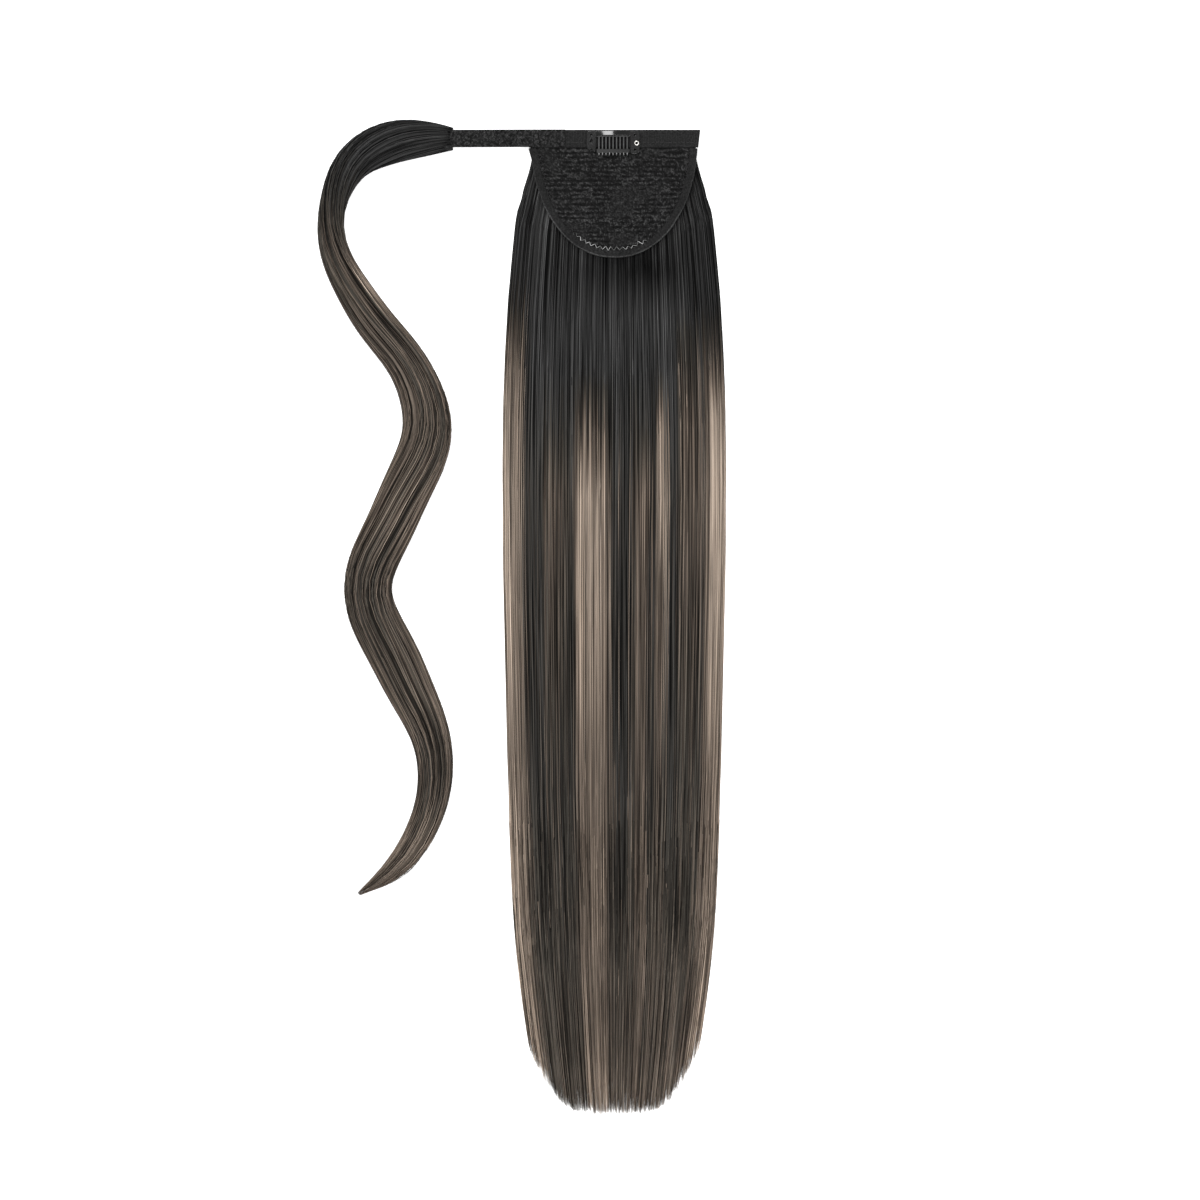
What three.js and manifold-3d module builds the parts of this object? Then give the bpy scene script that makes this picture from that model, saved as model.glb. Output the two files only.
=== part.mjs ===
// Wrap-around ponytail hair extension, laid flat with the inner face of its pad up.
// Millimetres, +Z up. X runs across the hair, and the hair falls away from the band along -Y.
// "down" is the distance below the band's top edge, and heights are above the surface it lies on.
import * as THREE from "three";
import { mergeVertices } from "three/addons/utils/BufferGeometryUtils.js";
import Module from "manifold-3d";

const wasm = await Module();
wasm.setup();

const GAP = 0.3; // clearance between pieces that touch
const CUT_MARGIN = 1; // a cutting block reaches this far past what it cuts
const WELD = 0.2; // shapes that are joined into one piece overlap this far
const MERGE = 1e-4; // corners closer than this are one

// Backing pad: a D of cloth whose curved edge is a superellipse
const PAD_HALF_WIDTH = 48.7;
const PAD_DEPTH = 74.4;
const PAD_ROUNDNESS = 2.15;
const PAD_THICK = 2;
const PAD_LIFT_TOP = 6.5; // underside height at the band
const PAD_LIFT_END = 11.5; // underside height at the foot of the D
const PAD_STEPS = 30;

// Binding folded round the curved edge of the pad
const HEM_WIDTH = 4.4;
const HEM_WALL = 0.8;

// Ribbon along the pad's straight edge
const BAND_LEFT = -49.6;
const BAND_RIGHT = 49.9;
const BAND_SLANT = 1.2; // the right end leans in by this much
const BAND_WIDTH = 10.4;
const BAND_THICK = 1;

// Hook-and-loop strap, sewn over the band's left end and dropping to the wrap lock's root
const STRAP_LEFT = -94.3;
const STRAP_RIGHT = -28.7;
const STRAP_WIDTH = 10.2;
const STRAP_THICK = 1.2;
const STRAP_DROP = 3.6;
const STRAP_LEVEL_LEFT = -50; // the strap lies level to the right of this
const STRAP_STEPS = 10;

// Snap comb clip
const CLIP_X = -0.7;
const CLIP_TOP = 0.8; // down from the band's top edge
const CLIP_WIDTH = 31;
const CLIP_DEPTH = 13;
const CLIP_CORNER = 3;
const CLIP_SHEET = 0.7;
const LOBE_WIDTH = 5.6;
const BAR_WIDTH = 2.1;
const SEW_HOLE_RADIUS = 0.55;
const SEW_HOLE_INSET = 2.1;
const DROP_HOLE_DOWN = 5.8; // the left lobe's middle hole, below the clip's top edge
const DROP_HOLE_RADIUS = 0.9;
const EYELET_X = 13.7; // from the clip's middle
const EYELET_DOWN = 7.2; // below the clip's top edge
const EYELET_HOLE_RADIUS = 0.65;
const EYELET_BARREL_RADIUS = 1.05;
const EYELET_FLANGE_RADIUS = 1.5;
const EYELET_FLANGE = 0.45;
const EYELET_SLOPE = 0.2;
const EYELET_PLAY = 0.12;
const ROUND_SIDES = 12;

// Toothed leg of the clip
const COMB_HINGE_DOWN = 2.75; // below the clip's top edge
const COMB_DEPTH = 10.5;
const COMB_LIFT = THREE.MathUtils.degToRad(6.5); // the shut leg stands this far up from the pad
const COMB_RAIL = 0.7;
const COMB_TEETH = 9;
const COMB_PITCH = 2.05;
const COMB_RIB = 0.8;
const COMB_FOOT = 2.4;
const HOOK_RADIUS = 1.25;
const HOOK_RETURN = 2.6;
const HOOK_STEPS = 3;

// Long tress: rows from the sewn head to the ends
// fullness is the power of the section's dome, from boxy under the pad to rounded further down
const TRESS = [
  { down: 2, halfWidth: 45.6, thick: 4.6, fullness: 7 },
  { down: 18, halfWidth: 46.8, thick: 6.3, fullness: 7 },
  { down: 40, halfWidth: 54.4, thick: 7.9, fullness: 5 },
  { down: 75, halfWidth: 59.6, thick: 9.4, fullness: 3.8 },
  { down: 128, halfWidth: 63.4, thick: 12.6, fullness: 3 },
  { down: 220, halfWidth: 65, thick: 13.6, fullness: 2.8 },
  { down: 320, halfWidth: 63, thick: 12.8, fullness: 2.8 },
  { down: 406, halfWidth: 61, thick: 11.4, fullness: 2.8 },
  { down: 475, halfWidth: 57.2, thick: 9, fullness: 2.8 },
  { down: 525, halfWidth: 50.8, thick: 6.4, fullness: 2.8 },
  { down: 572, halfWidth: 42.5, thick: 3, fullness: 2.8 },
];
const TRESS_LOCKS = 15;
const TRESS_TOP = 1.2;
const TRESS_END = 570;
const TRESS_EDGE_SHORTER = 34; // the outermost locks stop this far short of the middle ones
const TRESS_EDGE_POWER = 5;
const TRESS_STEPS = 16;
const LOCK_OVERLAP = 1.45;
const LOCK_SPREAD = 2.4; // radians between neighbours, so that no two locks look alike
const LOCK_CROWN = 0.07; // a lock stands up to this share higher or lower
const LOCK_SWAY = 1.4; // and strays this far to the side
const LOCK_WAVES = 1.6;
const LOCK_RAGGED = 5; // and is up to this much shorter
const LOCK_TAPER_FROM = 0.93;
const LOCK_TIP = 0.34;
const HEAD_DEPTH = 10;
const HEAD_THICK = 4.2;
const HEAD_INSET = 1;

// Free lock: rows along its route, from the root under the strap to the tip
const WRAP = [
  { x: -90.4, down: 5.2, width: 11.6, thick: 5.6 },
  { x: -109.9, down: 5.0, width: 21, thick: 7.6 },
  { x: -130.6, down: 7.6, width: 25.5, thick: 9 },
  { x: -151.2, down: 18.6, width: 21.8, thick: 10.4 },
  { x: -163.3, down: 43.5, width: 15.6, thick: 11.4 },
  { x: -162.5, down: 69.6, width: 17, thick: 11 },
  { x: -143.6, down: 105, width: 22.4, thick: 10 },
  { x: -116.8, down: 141.5, width: 24.4, thick: 9.6 },
  { x: -108.6, down: 175.2, width: 29.6, thick: 9 },
  { x: -126.2, down: 221, width: 29, thick: 9 },
  { x: -143.2, down: 266.8, width: 28.4, thick: 9 },
  { x: -123.8, down: 313.2, width: 29, thick: 9 },
  { x: -105.2, down: 356.7, width: 22, thick: 8.6 },
  { x: -106.4, down: 391.5, width: 18.8, thick: 7.6 },
  { x: -125, down: 426.3, width: 14.4, thick: 5.6 },
  { x: -148.6, down: 443.4, width: 2.4, thick: 1.6 },
];
// Strips of that lock: place and size as shares of its half width and thickness, and how they wander
const WRAP_STRIPS = [
  { side: -0.62, sway: 0.1, phase: 0.1, share: 0.36, rise: 0.78 },
  { side: -0.2, sway: 0.16, phase: 0.45, share: 0.4, rise: 1 },
  { side: 0.22, sway: 0.16, phase: 0.8, share: 0.4, rise: 0.9 },
  { side: 0.62, sway: 0.1, phase: 0.3, share: 0.36, rise: 0.7 },
];
const WRAP_TURNS = 2.3;
const WRAP_STEPS = 48;

// Section of a lock that lies on a surface, as shares of its half width and its height
const LOCK_SECTION = [
  { side: -1, rise: 0 },
  { side: 1, rise: 0 },
  { side: 1, rise: 0.38 },
  { side: 0.6, rise: 0.84 },
  { side: 0, rise: 1 },
  { side: -0.6, rise: 0.84 },
  { side: -1, rise: 0.38 },
];

const MATERIALS = {
  hair: new THREE.MeshStandardMaterial({ color: 0x5c5149, roughness: 0.45, metalness: 0 }),
  knit: new THREE.MeshStandardMaterial({ color: 0x282828, roughness: 0.9, metalness: 0 }),
  binding: new THREE.MeshStandardMaterial({ color: 0x303030, roughness: 0.8, metalness: 0 }),
  ribbon: new THREE.MeshStandardMaterial({ color: 0x2d2d2d, roughness: 0.6, metalness: 0 }),
  strap: new THREE.MeshStandardMaterial({ color: 0x2c2c2c, roughness: 0.95, metalness: 0 }),
  enamel: new THREE.MeshStandardMaterial({ color: 0x252525, roughness: 0.3, metalness: 0.4 }),
  nickel: new THREE.MeshStandardMaterial({ color: 0xd8d6d0, roughness: 0.2, metalness: 1 }),
};

// Solids and geometry

function solidOf(geometry) {
  const bare = geometry.clone();
  bare.deleteAttribute("normal");
  bare.deleteAttribute("uv");
  const merged = mergeVertices(bare, MERGE);
  return new wasm.Manifold(
    new wasm.Mesh({
      numProp: 3,
      vertProperties: Float32Array.from(merged.attributes.position.array),
      triVerts: Uint32Array.from(merged.index.array),
    }),
  );
}

function geometryOf(solid) {
  const mesh = solid.getMesh();
  const geometry = new THREE.BufferGeometry();
  geometry.setAttribute("position", new THREE.BufferAttribute(mesh.vertProperties, 3));
  geometry.setIndex(new THREE.BufferAttribute(mesh.triVerts, 1));
  geometry.computeVertexNormals();
  return geometry;
}

function joined(geometries) {
  const solids = geometries.map(solidOf);
  return geometryOf(solids.reduce((whole, next) => whole.add(next)));
}

function cut(geometry, tools) {
  return geometryOf(tools.reduce((left, tool) => left.subtract(solidOf(tool)), solidOf(geometry)));
}

// A closed skin through rings of equally many points, with a flat cap on each end ring
function loft(rings) {
  const count = rings[0].length;
  const index = [];
  for (let ring = 0; ring + 1 < rings.length; ring += 1) {
    for (let point = 0; point < count; point += 1) {
      const a = ring * count + point;
      const b = ring * count + ((point + 1) % count);
      index.push(a, b, b + count, a, b + count, a + count);
    }
  }
  const last = (rings.length - 1) * count;
  for (let point = 1; point + 1 < count; point += 1) {
    index.push(0, point + 1, point);
    index.push(last, last + point, last + point + 1);
  }
  const geometry = new THREE.BufferGeometry().setFromPoints(rings.flat());
  geometry.setIndex(index);
  geometry.computeVertexNormals();
  return geometry;
}

// A flat outline in X and Y raised into a slab from one height to another
function slab(shape, bottom, top) {
  const options = { depth: top - bottom, bevelEnabled: false, curveSegments: ROUND_SIDES / 2 };
  return new THREE.ExtrudeGeometry(shape, options).translate(0, 0, bottom);
}

function block(left, right, bottom, top, low, high) {
  const box = new THREE.BoxGeometry(right - left, top - bottom, high - low);
  return box.translate((left + right) / 2, (bottom + top) / 2, (low + high) / 2);
}

function circle(x, y, radius) {
  const path = new THREE.Path();
  path.absarc(x, y, radius, 0, Math.PI * 2);
  return path;
}

// One column of a table as a smooth function of another
function column(table, along, name) {
  const places = table.map((row) => row[along]);
  const values = table.map((row) => row[name]);
  const curve = new THREE.CubicInterpolant(places, values, 1);
  return (place) => curve.evaluate(place)[0];
}

function lockRing(centre, across, halfWidth, height) {
  return LOCK_SECTION.map(({ side, rise }) => {
    const point = centre.clone().addScaledVector(across, side * halfWidth);
    return point.setZ(rise * height);
  });
}

function taperToTip(along) {
  const into = Math.max(0, (along - LOCK_TAPER_FROM) / (1 - LOCK_TAPER_FROM));
  return 1 - (1 - LOCK_TIP) * into * into;
}

// Hair

function tress() {
  const halfWidthAt = column(TRESS, "down", "halfWidth");
  const thickAt = column(TRESS, "down", "thick");
  const fullnessAt = column(TRESS, "down", "fullness");
  const across = new THREE.Vector3(1, 0, 0);
  const locks = [];
  for (let lock = 0; lock < TRESS_LOCKS; lock += 1) {
    const place = (2 * lock) / (TRESS_LOCKS - 1) - 1;
    const inner = 1 - Math.abs(place);
    const odd = Math.sin(lock * lock * LOCK_SPREAD);
    const shorter = TRESS_EDGE_SHORTER * Math.abs(place) ** TRESS_EDGE_POWER;
    const end = TRESS_END - shorter - (LOCK_RAGGED * (1 - odd)) / 2;
    const rings = [];
    for (let step = 0; step <= TRESS_STEPS; step += 1) {
      const along = step / TRESS_STEPS;
      const down = TRESS_TOP + (end - TRESS_TOP) * along;
      const taper = taperToTip(along);
      const halfWidth = (halfWidthAt(down) * LOCK_OVERLAP) / TRESS_LOCKS;
      const reach = halfWidthAt(down) - halfWidth;
      const wave = Math.sin(2 * Math.PI * LOCK_WAVES * along + lock * LOCK_SPREAD);
      const sway = LOCK_SWAY * wave * Math.min(1, inner * TRESS_LOCKS) * along;
      const centre = new THREE.Vector3(reach * place + sway, -down, 0);
      const dome = Math.sqrt(1 - Math.abs((reach * place) / halfWidthAt(down)) ** fullnessAt(down));
      const height = thickAt(down) * dome * (1 + odd * LOCK_CROWN) * Math.sqrt(taper);
      rings.push(lockRing(centre, across, halfWidth * taper, height));
    }
    locks.push(loft(rings));
  }
  const headHalf = halfWidthAt(HEAD_DEPTH) - HEAD_INSET;
  const head = block(-headHalf, headHalf, -HEAD_DEPTH, -TRESS_TOP, 0, HEAD_THICK);
  return joined([...locks, head]);
}

function wrapLock() {
  const route = new THREE.CatmullRomCurve3(
    WRAP.map(({ x, down }) => new THREE.Vector3(x, -down, 0)),
    false,
    "centripetal",
  );
  const rows = WRAP.map((row, place) => ({ ...row, place }));
  const widthAt = column(rows, "place", "width");
  const thickAt = column(rows, "place", "thick");
  const strips = WRAP_STRIPS.map(({ side, sway, phase, share, rise }) => {
    const rings = [];
    for (let step = 0; step <= WRAP_STEPS; step += 1) {
      const along = step / WRAP_STEPS;
      const place = along * (WRAP.length - 1);
      const heading = route.getTangent(along);
      const across = new THREE.Vector3(heading.y, -heading.x, 0).normalize();
      const halfWidth = widthAt(place) / 2;
      const wander = sway * Math.sin(2 * Math.PI * (WRAP_TURNS * along + phase));
      const centre = route.getPoint(along).addScaledVector(across, halfWidth * (side + wander));
      rings.push(lockRing(centre, across, halfWidth * share, thickAt(place) * rise));
    }
    return loft(rings.reverse());
  });
  return joined(strips);
}

// Pad, in its own plane: z = 0 is the pad's upper face, y = 0 the band's top edge

// The D outline grown by a margin, from the straight edge at the given depth
function padOutline(margin, straightDown) {
  const halfWidth = PAD_HALF_WIDTH + margin;
  const depth = PAD_DEPTH + margin;
  const shape = new THREE.Shape();
  for (let step = 0; step <= PAD_STEPS; step += 1) {
    const angle = (Math.PI * step) / PAD_STEPS;
    const power = 2 / PAD_ROUNDNESS;
    const x = -Math.sign(Math.cos(angle)) * halfWidth * Math.abs(Math.cos(angle)) ** power;
    const y = -straightDown - (depth - straightDown) * Math.sin(angle) ** power;
    if (step === 0) shape.moveTo(x, y);
    else shape.lineTo(x, y);
  }
  shape.closePath();
  return shape;
}

function pad() {
  return slab(padOutline(-GAP - HEM_WALL, GAP), -PAD_THICK, 0);
}

function hem() {
  const low = -PAD_THICK - GAP - HEM_WALL;
  const high = GAP + HEM_WALL;
  const outer = slab(padOutline(0, GAP), low, high);
  const window = slab(padOutline(-HEM_WIDTH, GAP), low - CUT_MARGIN, high + CUT_MARGIN);
  const fold = slab(padOutline(-HEM_WALL, GAP), -PAD_THICK - GAP, GAP);
  const reach = PAD_HALF_WIDTH + CUT_MARGIN;
  const bandFoot = -BAND_WIDTH - GAP;
  const underBand = block(-reach, reach, bandFoot, CUT_MARGIN, low - CUT_MARGIN, high + CUT_MARGIN);
  return cut(outer, [window, fold, underBand]);
}

function band() {
  const shape = new THREE.Shape();
  shape.moveTo(BAND_LEFT, 0);
  shape.lineTo(BAND_LEFT, -BAND_WIDTH);
  shape.lineTo(BAND_RIGHT - BAND_SLANT, -BAND_WIDTH);
  shape.lineTo(BAND_RIGHT, 0);
  shape.closePath();
  return slab(shape, GAP, GAP + BAND_THICK);
}

const STRAP_SEAT = GAP + BAND_THICK + GAP;

// Height of the strap's underside above the pad's upper face
function strapHeight(x) {
  const fall = Math.min(1, Math.max(0, (STRAP_LEVEL_LEFT - x) / (STRAP_LEVEL_LEFT - STRAP_LEFT)));
  return STRAP_SEAT - STRAP_DROP * THREE.MathUtils.smoothstep(fall, 0, 1);
}

function strap() {
  const rings = [];
  for (let step = 0; step <= STRAP_STEPS; step += 1) {
    rings.push(strapRing(STRAP_LEFT + ((STRAP_LEVEL_LEFT - STRAP_LEFT) * step) / STRAP_STEPS));
  }
  rings.push(strapRing(STRAP_RIGHT));
  return loft(rings);
}

function strapRing(x) {
  const low = strapHeight(x);
  const high = low + STRAP_THICK;
  return [
    new THREE.Vector3(x, 0, low),
    new THREE.Vector3(x, 0, high),
    new THREE.Vector3(x, -STRAP_WIDTH, high),
    new THREE.Vector3(x, -STRAP_WIDTH, low),
  ];
}

// Clip, with x from its middle, y from its top edge and z from the underside of its sheet

const LOBE_MIDDLE = CLIP_WIDTH / 2 - LOBE_WIDTH / 2;

function roundedOutline(halfWidth, top, bottom, radius) {
  const shape = new THREE.Shape();
  shape.moveTo(-halfWidth + radius, top);
  shape.absarc(-halfWidth + radius, top - radius, radius, Math.PI / 2, Math.PI, false);
  shape.absarc(-halfWidth + radius, bottom + radius, radius, Math.PI, 1.5 * Math.PI, false);
  shape.absarc(halfWidth - radius, bottom + radius, radius, 1.5 * Math.PI, 2 * Math.PI, false);
  shape.absarc(halfWidth - radius, top - radius, radius, 0, Math.PI / 2, false);
  shape.closePath();
  return shape;
}

function clipFrame() {
  const shape = roundedOutline(CLIP_WIDTH / 2, 0, -CLIP_DEPTH, CLIP_CORNER);
  shape.holes.push(circle(-LOBE_MIDDLE, -DROP_HOLE_DOWN, DROP_HOLE_RADIUS));
  shape.holes.push(circle(EYELET_X, -EYELET_DOWN, EYELET_BARREL_RADIUS + EYELET_PLAY));
  for (const side of [-1, 1]) {
    for (const y of [-SEW_HOLE_INSET, SEW_HOLE_INSET - CLIP_DEPTH]) {
      shape.holes.push(circle(side * LOBE_MIDDLE, y, SEW_HOLE_RADIUS));
    }
  }
  const plate = slab(shape, 0, CLIP_SHEET);
  const half = CLIP_WIDTH / 2 - LOBE_WIDTH;
  const foot = -CLIP_DEPTH - CUT_MARGIN;
  const window = block(-half, half, foot, -BAR_WIDTH, -CUT_MARGIN, CLIP_SHEET + CUT_MARGIN);
  return cut(plate, [window]);
}

function rivet() {
  const top = CLIP_SHEET + EYELET_PLAY;
  const profile = [
    new THREE.Vector2(EYELET_HOLE_RADIUS, 0),
    new THREE.Vector2(EYELET_BARREL_RADIUS, 0),
    new THREE.Vector2(EYELET_BARREL_RADIUS, top),
    new THREE.Vector2(EYELET_FLANGE_RADIUS, top),
    new THREE.Vector2(EYELET_FLANGE_RADIUS - EYELET_SLOPE, top + EYELET_FLANGE),
    new THREE.Vector2(EYELET_HOLE_RADIUS, top + EYELET_FLANGE),
    new THREE.Vector2(EYELET_HOLE_RADIUS, 0),
  ];
  return new THREE.LatheGeometry(profile, ROUND_SIDES).rotateX(Math.PI / 2);
}

// The toothed leg lies in its own plane, with its hinge along X through the origin
function comb() {
  const half = CLIP_WIDTH / 2 - LOBE_WIDTH - GAP;
  const ribTop = -COMB_RAIL;
  const ribFoot = -COMB_DEPTH + COMB_FOOT;
  const rail = block(-half, half, ribTop, 0, 0, CLIP_SHEET);
  const foot = block(-half, half, -COMB_DEPTH, ribFoot, 0, CLIP_SHEET);
  const pieces = [rail, foot];
  for (let tooth = 0; tooth < COMB_TEETH; tooth += 1) {
    const x = (tooth - (COMB_TEETH - 1) / 2) * COMB_PITCH;
    const left = x - COMB_RIB / 2;
    const right = x + COMB_RIB / 2;
    pieces.push(block(left, right, ribFoot - WELD, ribTop + WELD, 0, CLIP_SHEET));
    pieces.push(hook().translate(x, -COMB_DEPTH, 0));
  }
  return joined(pieces);
}

// One tooth: the sheet bends down over the foot's edge and runs back under it
function hook() {
  const inner = HOOK_RADIUS - CLIP_SHEET;
  const middle = CLIP_SHEET - HOOK_RADIUS;
  const shape = new THREE.Shape();
  shape.moveTo(WELD, 0);
  shape.absarc(0, middle, inner, Math.PI / 2, 1.5 * Math.PI, false);
  shape.lineTo(HOOK_RETURN, middle - inner);
  shape.lineTo(HOOK_RETURN, middle - HOOK_RADIUS);
  shape.absarc(0, middle, HOOK_RADIUS, 1.5 * Math.PI, Math.PI / 2, true);
  shape.lineTo(WELD, CLIP_SHEET);
  shape.closePath();
  const options = { depth: COMB_RIB, bevelEnabled: false, curveSegments: HOOK_STEPS };
  const strip = new THREE.ExtrudeGeometry(shape, options).translate(0, 0, -COMB_RIB / 2);
  return strip.rotateY(Math.PI / 2).rotateX(Math.PI / 2);
}

// Assembly

function piece(name, geometry, material) {
  const mesh = new THREE.Mesh(geometry, material);
  mesh.name = name;
  return mesh;
}

const leg = piece("clip_comb", comb(), MATERIALS.enamel);
leg.position.set(0, -COMB_HINGE_DOWN, 0);
leg.rotation.x = -COMB_LIFT;

const eyelet = piece("clip_rivet", rivet(), MATERIALS.nickel);
eyelet.position.set(EYELET_X, -EYELET_DOWN, 0);

const clip = new THREE.Group();
clip.position.set(CLIP_X, -CLIP_TOP, STRAP_SEAT);
clip.add(piece("clip_frame", clipFrame(), MATERIALS.enamel), leg, eyelet);

const padGroup = new THREE.Group();
padGroup.position.z = PAD_LIFT_TOP + PAD_THICK;
padGroup.rotation.x = -Math.asin((PAD_LIFT_END - PAD_LIFT_TOP) / PAD_DEPTH);
padGroup.add(
  piece("backing_pad", pad(), MATERIALS.knit),
  piece("pad_hem", hem(), MATERIALS.binding),
  piece("top_band", band(), MATERIALS.ribbon),
  piece("wrap_strap", strap(), MATERIALS.strap),
  clip,
);

const laidOut = new THREE.Group();
laidOut.add(
  piece("ponytail_hair", tress(), MATERIALS.hair),
  piece("wrap_lock_hair", wrapLock(), MATERIALS.hair),
  padGroup,
);

// The origin is under the middle of the whole hairpiece
const extent = new THREE.Box3().setFromObject(laidOut, true);
const middle = extent.getCenter(new THREE.Vector3());
laidOut.position.set(-middle.x, -middle.y, -extent.min.z);

const hairpiece = new THREE.Group();
hairpiece.add(laidOut);

export default hairpiece;
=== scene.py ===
"""Looks of a wrap-around ponytail hair extension, laid flat and seen straight from above.

Sizes are in millimetres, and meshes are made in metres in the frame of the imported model.
A place on the hair is x to the right of the tress's axis, down from the band's top edge and z up.
"""
import math

import bmesh
import bpy
import numpy as np
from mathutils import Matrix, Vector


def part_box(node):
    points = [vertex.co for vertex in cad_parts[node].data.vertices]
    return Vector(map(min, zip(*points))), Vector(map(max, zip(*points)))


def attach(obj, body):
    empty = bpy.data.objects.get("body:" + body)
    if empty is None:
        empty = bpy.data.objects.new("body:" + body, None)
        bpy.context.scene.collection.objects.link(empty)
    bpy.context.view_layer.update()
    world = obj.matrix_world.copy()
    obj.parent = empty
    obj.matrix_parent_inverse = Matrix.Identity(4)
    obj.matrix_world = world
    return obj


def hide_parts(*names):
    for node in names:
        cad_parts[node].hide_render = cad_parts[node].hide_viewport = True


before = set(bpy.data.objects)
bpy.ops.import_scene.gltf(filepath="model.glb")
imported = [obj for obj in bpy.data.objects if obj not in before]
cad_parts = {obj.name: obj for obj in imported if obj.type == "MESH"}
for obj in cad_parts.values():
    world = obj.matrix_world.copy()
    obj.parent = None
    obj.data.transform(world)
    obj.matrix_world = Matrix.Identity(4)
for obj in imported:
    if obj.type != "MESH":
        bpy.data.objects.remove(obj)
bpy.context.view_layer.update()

MM = 0.001
UP = np.array([0.0, 0.0, 1.0])
FULL_TURN = 2 * math.pi

# The photograph: its frame in pixels, its scale, and the pixel at the middle of the object
PHOTO_SIZE = 1200
PHOTO_SCALE = 0.58
PHOTO_MIDDLE = (522.0, 615.75)
CAMERA_HEIGHT = 8.0
CAMERA_SENSOR = 36.0
CAMERA_NEAR = 0.05
HAIR_LEVEL = 0.006  # height that the photograph's scale is taken at, in metres

# How the band and the tress's head lie beside the tress's axis and the band's top edge
BAND_LEFT = -49.6
TRESS_TOP = 1.2
axis_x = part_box("top_band")[0].x - BAND_LEFT * MM
band_top_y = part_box("ponytail_hair")[1].y + TRESS_TOP * MM

# Half round pad on the tress's head
PAD_HALF_WIDTH = 48.7
PAD_DEPTH = 74.4
PAD_ROUNDNESS = 2.15
PAD_TOP = 0.3


def table(names, *rows):
    """A small table, as one array for each of its named columns."""
    return dict(zip(names.split(), np.array(rows, float).T))


# Long tress, from the sewn head to the ends; fullness is the power of the section's dome
TRESS = table(
    "down half_width thick fullness",
    (2, 45.6, 4.6, 7),
    (18, 46.8, 6.3, 7),
    (40, 54.8, 7.9, 5),
    (75, 59.6, 9.4, 3.8),
    (128, 63.4, 12.6, 3),
    (220, 65, 13.6, 2.8),
    (320, 63, 12.8, 2.8),
    (406, 61, 11.4, 2.8),
    (475, 57.2, 9, 2.8),
    (525, 50.8, 6.4, 2.8),
    (572, 42.5, 3, 2.8),
)
TRESS_END = 571.5
TRESS_EDGE_SHORTER = 34.0
TRESS_EDGE_POWER = 5

# Dyed streaks of the tress: lane is a share of the half width, start and full are distances down,
# and kept is the share of the dye that is left where the hair thins towards the ends
STREAKS = table(
    "lane half start full light kept",
    (-0.92, 0.115, 101, 142, 0.98, 0.68),
    (-0.53, 0.11, 158, 220, 0.42, 0.28),
    (-0.205, 0.175, 160, 200, 0.96, 0.57),
    (0.245, 0.085, 162, 206, 0.54, 0.8),
    (0.43, 0.055, 148, 186, 0.84, 0.38),
    (0.68, 0.11, 118, 160, 0.42, 0.3),
    (0.92, 0.11, 122, 156, 1.0, 0.59),
)
STREAK_SHARPNESS = 8
STREAKS_THIN = (195, 390)  # distances down, as are the next two
LOW_LIGHT_GROWS = (130, 230)
ENDS_GROW = (380, 540)
LOW_LIGHT = 0.05  # dye between the streaks
LOW_LIGHT_ENDS = 0.28
ENDS_TILT = 0.4  # the ends are darker on the left and lighter on the right

# Free lock, from its root under the strap to its tip
WRAP = table(
    "x down width thick",
    (-90.4, 5.2, 11.6, 5.6),
    (-109.9, 5.0, 21, 7.6),
    (-130.6, 7.6, 25.5, 9),
    (-151.2, 18.6, 21.8, 10.4),
    (-163.3, 43.5, 15.6, 11.4),
    (-162.5, 69.6, 17, 11),
    (-143.6, 105, 22.4, 10),
    (-116.8, 141.5, 24.4, 9.6),
    (-108.6, 175.2, 29.6, 9),
    (-126.2, 221, 29, 9),
    (-143.2, 266.8, 28.4, 9),
    (-123.8, 313.2, 29, 9),
    (-105.2, 356.7, 22, 8.6),
    (-106.4, 391.5, 18.8, 7.6),
    (-125, 426.3, 14.4, 5.6),
    (-148.6, 443.4, 2.4, 1.6),
)
WRAP_SAMPLES = 400

# How the free lock's strands turn about its middle, in degrees, by distance along it
WRAP_TWIST = table(
    "along turn",
    (0, 0),
    (33, 22),
    (78, 66),
    (104, 102),
    (150, 120),
    (210, 126),
    (300, 98),
    (420, 84),
    (560, 104),
)

# Bundles of the free lock: place round its section in degrees, spread, how proud, how light,
# and how far it is tucked under its neighbours near the root
WRAP_BUNDLES = table(
    "place half proud light tuck",
    (28, 19, 1.0, 0.21, 0),
    (58, 9, 1.0, 0.31, 0),
    (86, 17, 0.95, 0.19, 0.18),
    (122, 17, 0.95, 0.26, 0.24),
    (160, 20, 0.96, 0.2, 0.2),
    (210, 28, 0.97, 0.22, 0),
    (262, 22, 0.98, 0.2, 0),
    (297, 11, 1.0, 0.31, 0),
    (334, 23, 0.97, 0.18, 0),
)
WRAP_TUCK_ENDS = (80, 120)  # distances along the lock
WRAP_STRAYS = 0.1  # share of strands that cross the others slantwise

# Painted highlights (glints) on the lock's inner edges, by place round its section and distance along it
WRAP_GLINTS = table(
    "place half start full end light",
    (32, 10, 112, 142, 190, 1.0),
    (58, 9, 300, 332, 385, 0.8),
)
GLINT_GAIN = 0.8  # how much lighter than any dye the painted highlights show

# How much of the dye the lock shows, by distance along it
WRAP_TONES = table(
    "along shown",
    (0, 1.0),
    (238, 1.0),
    (286, 1.3),
    (335, 0.74),
    (386, 1.0),
    (459, 0.76),
    (540, 1.15),
)

# Numbers


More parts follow.
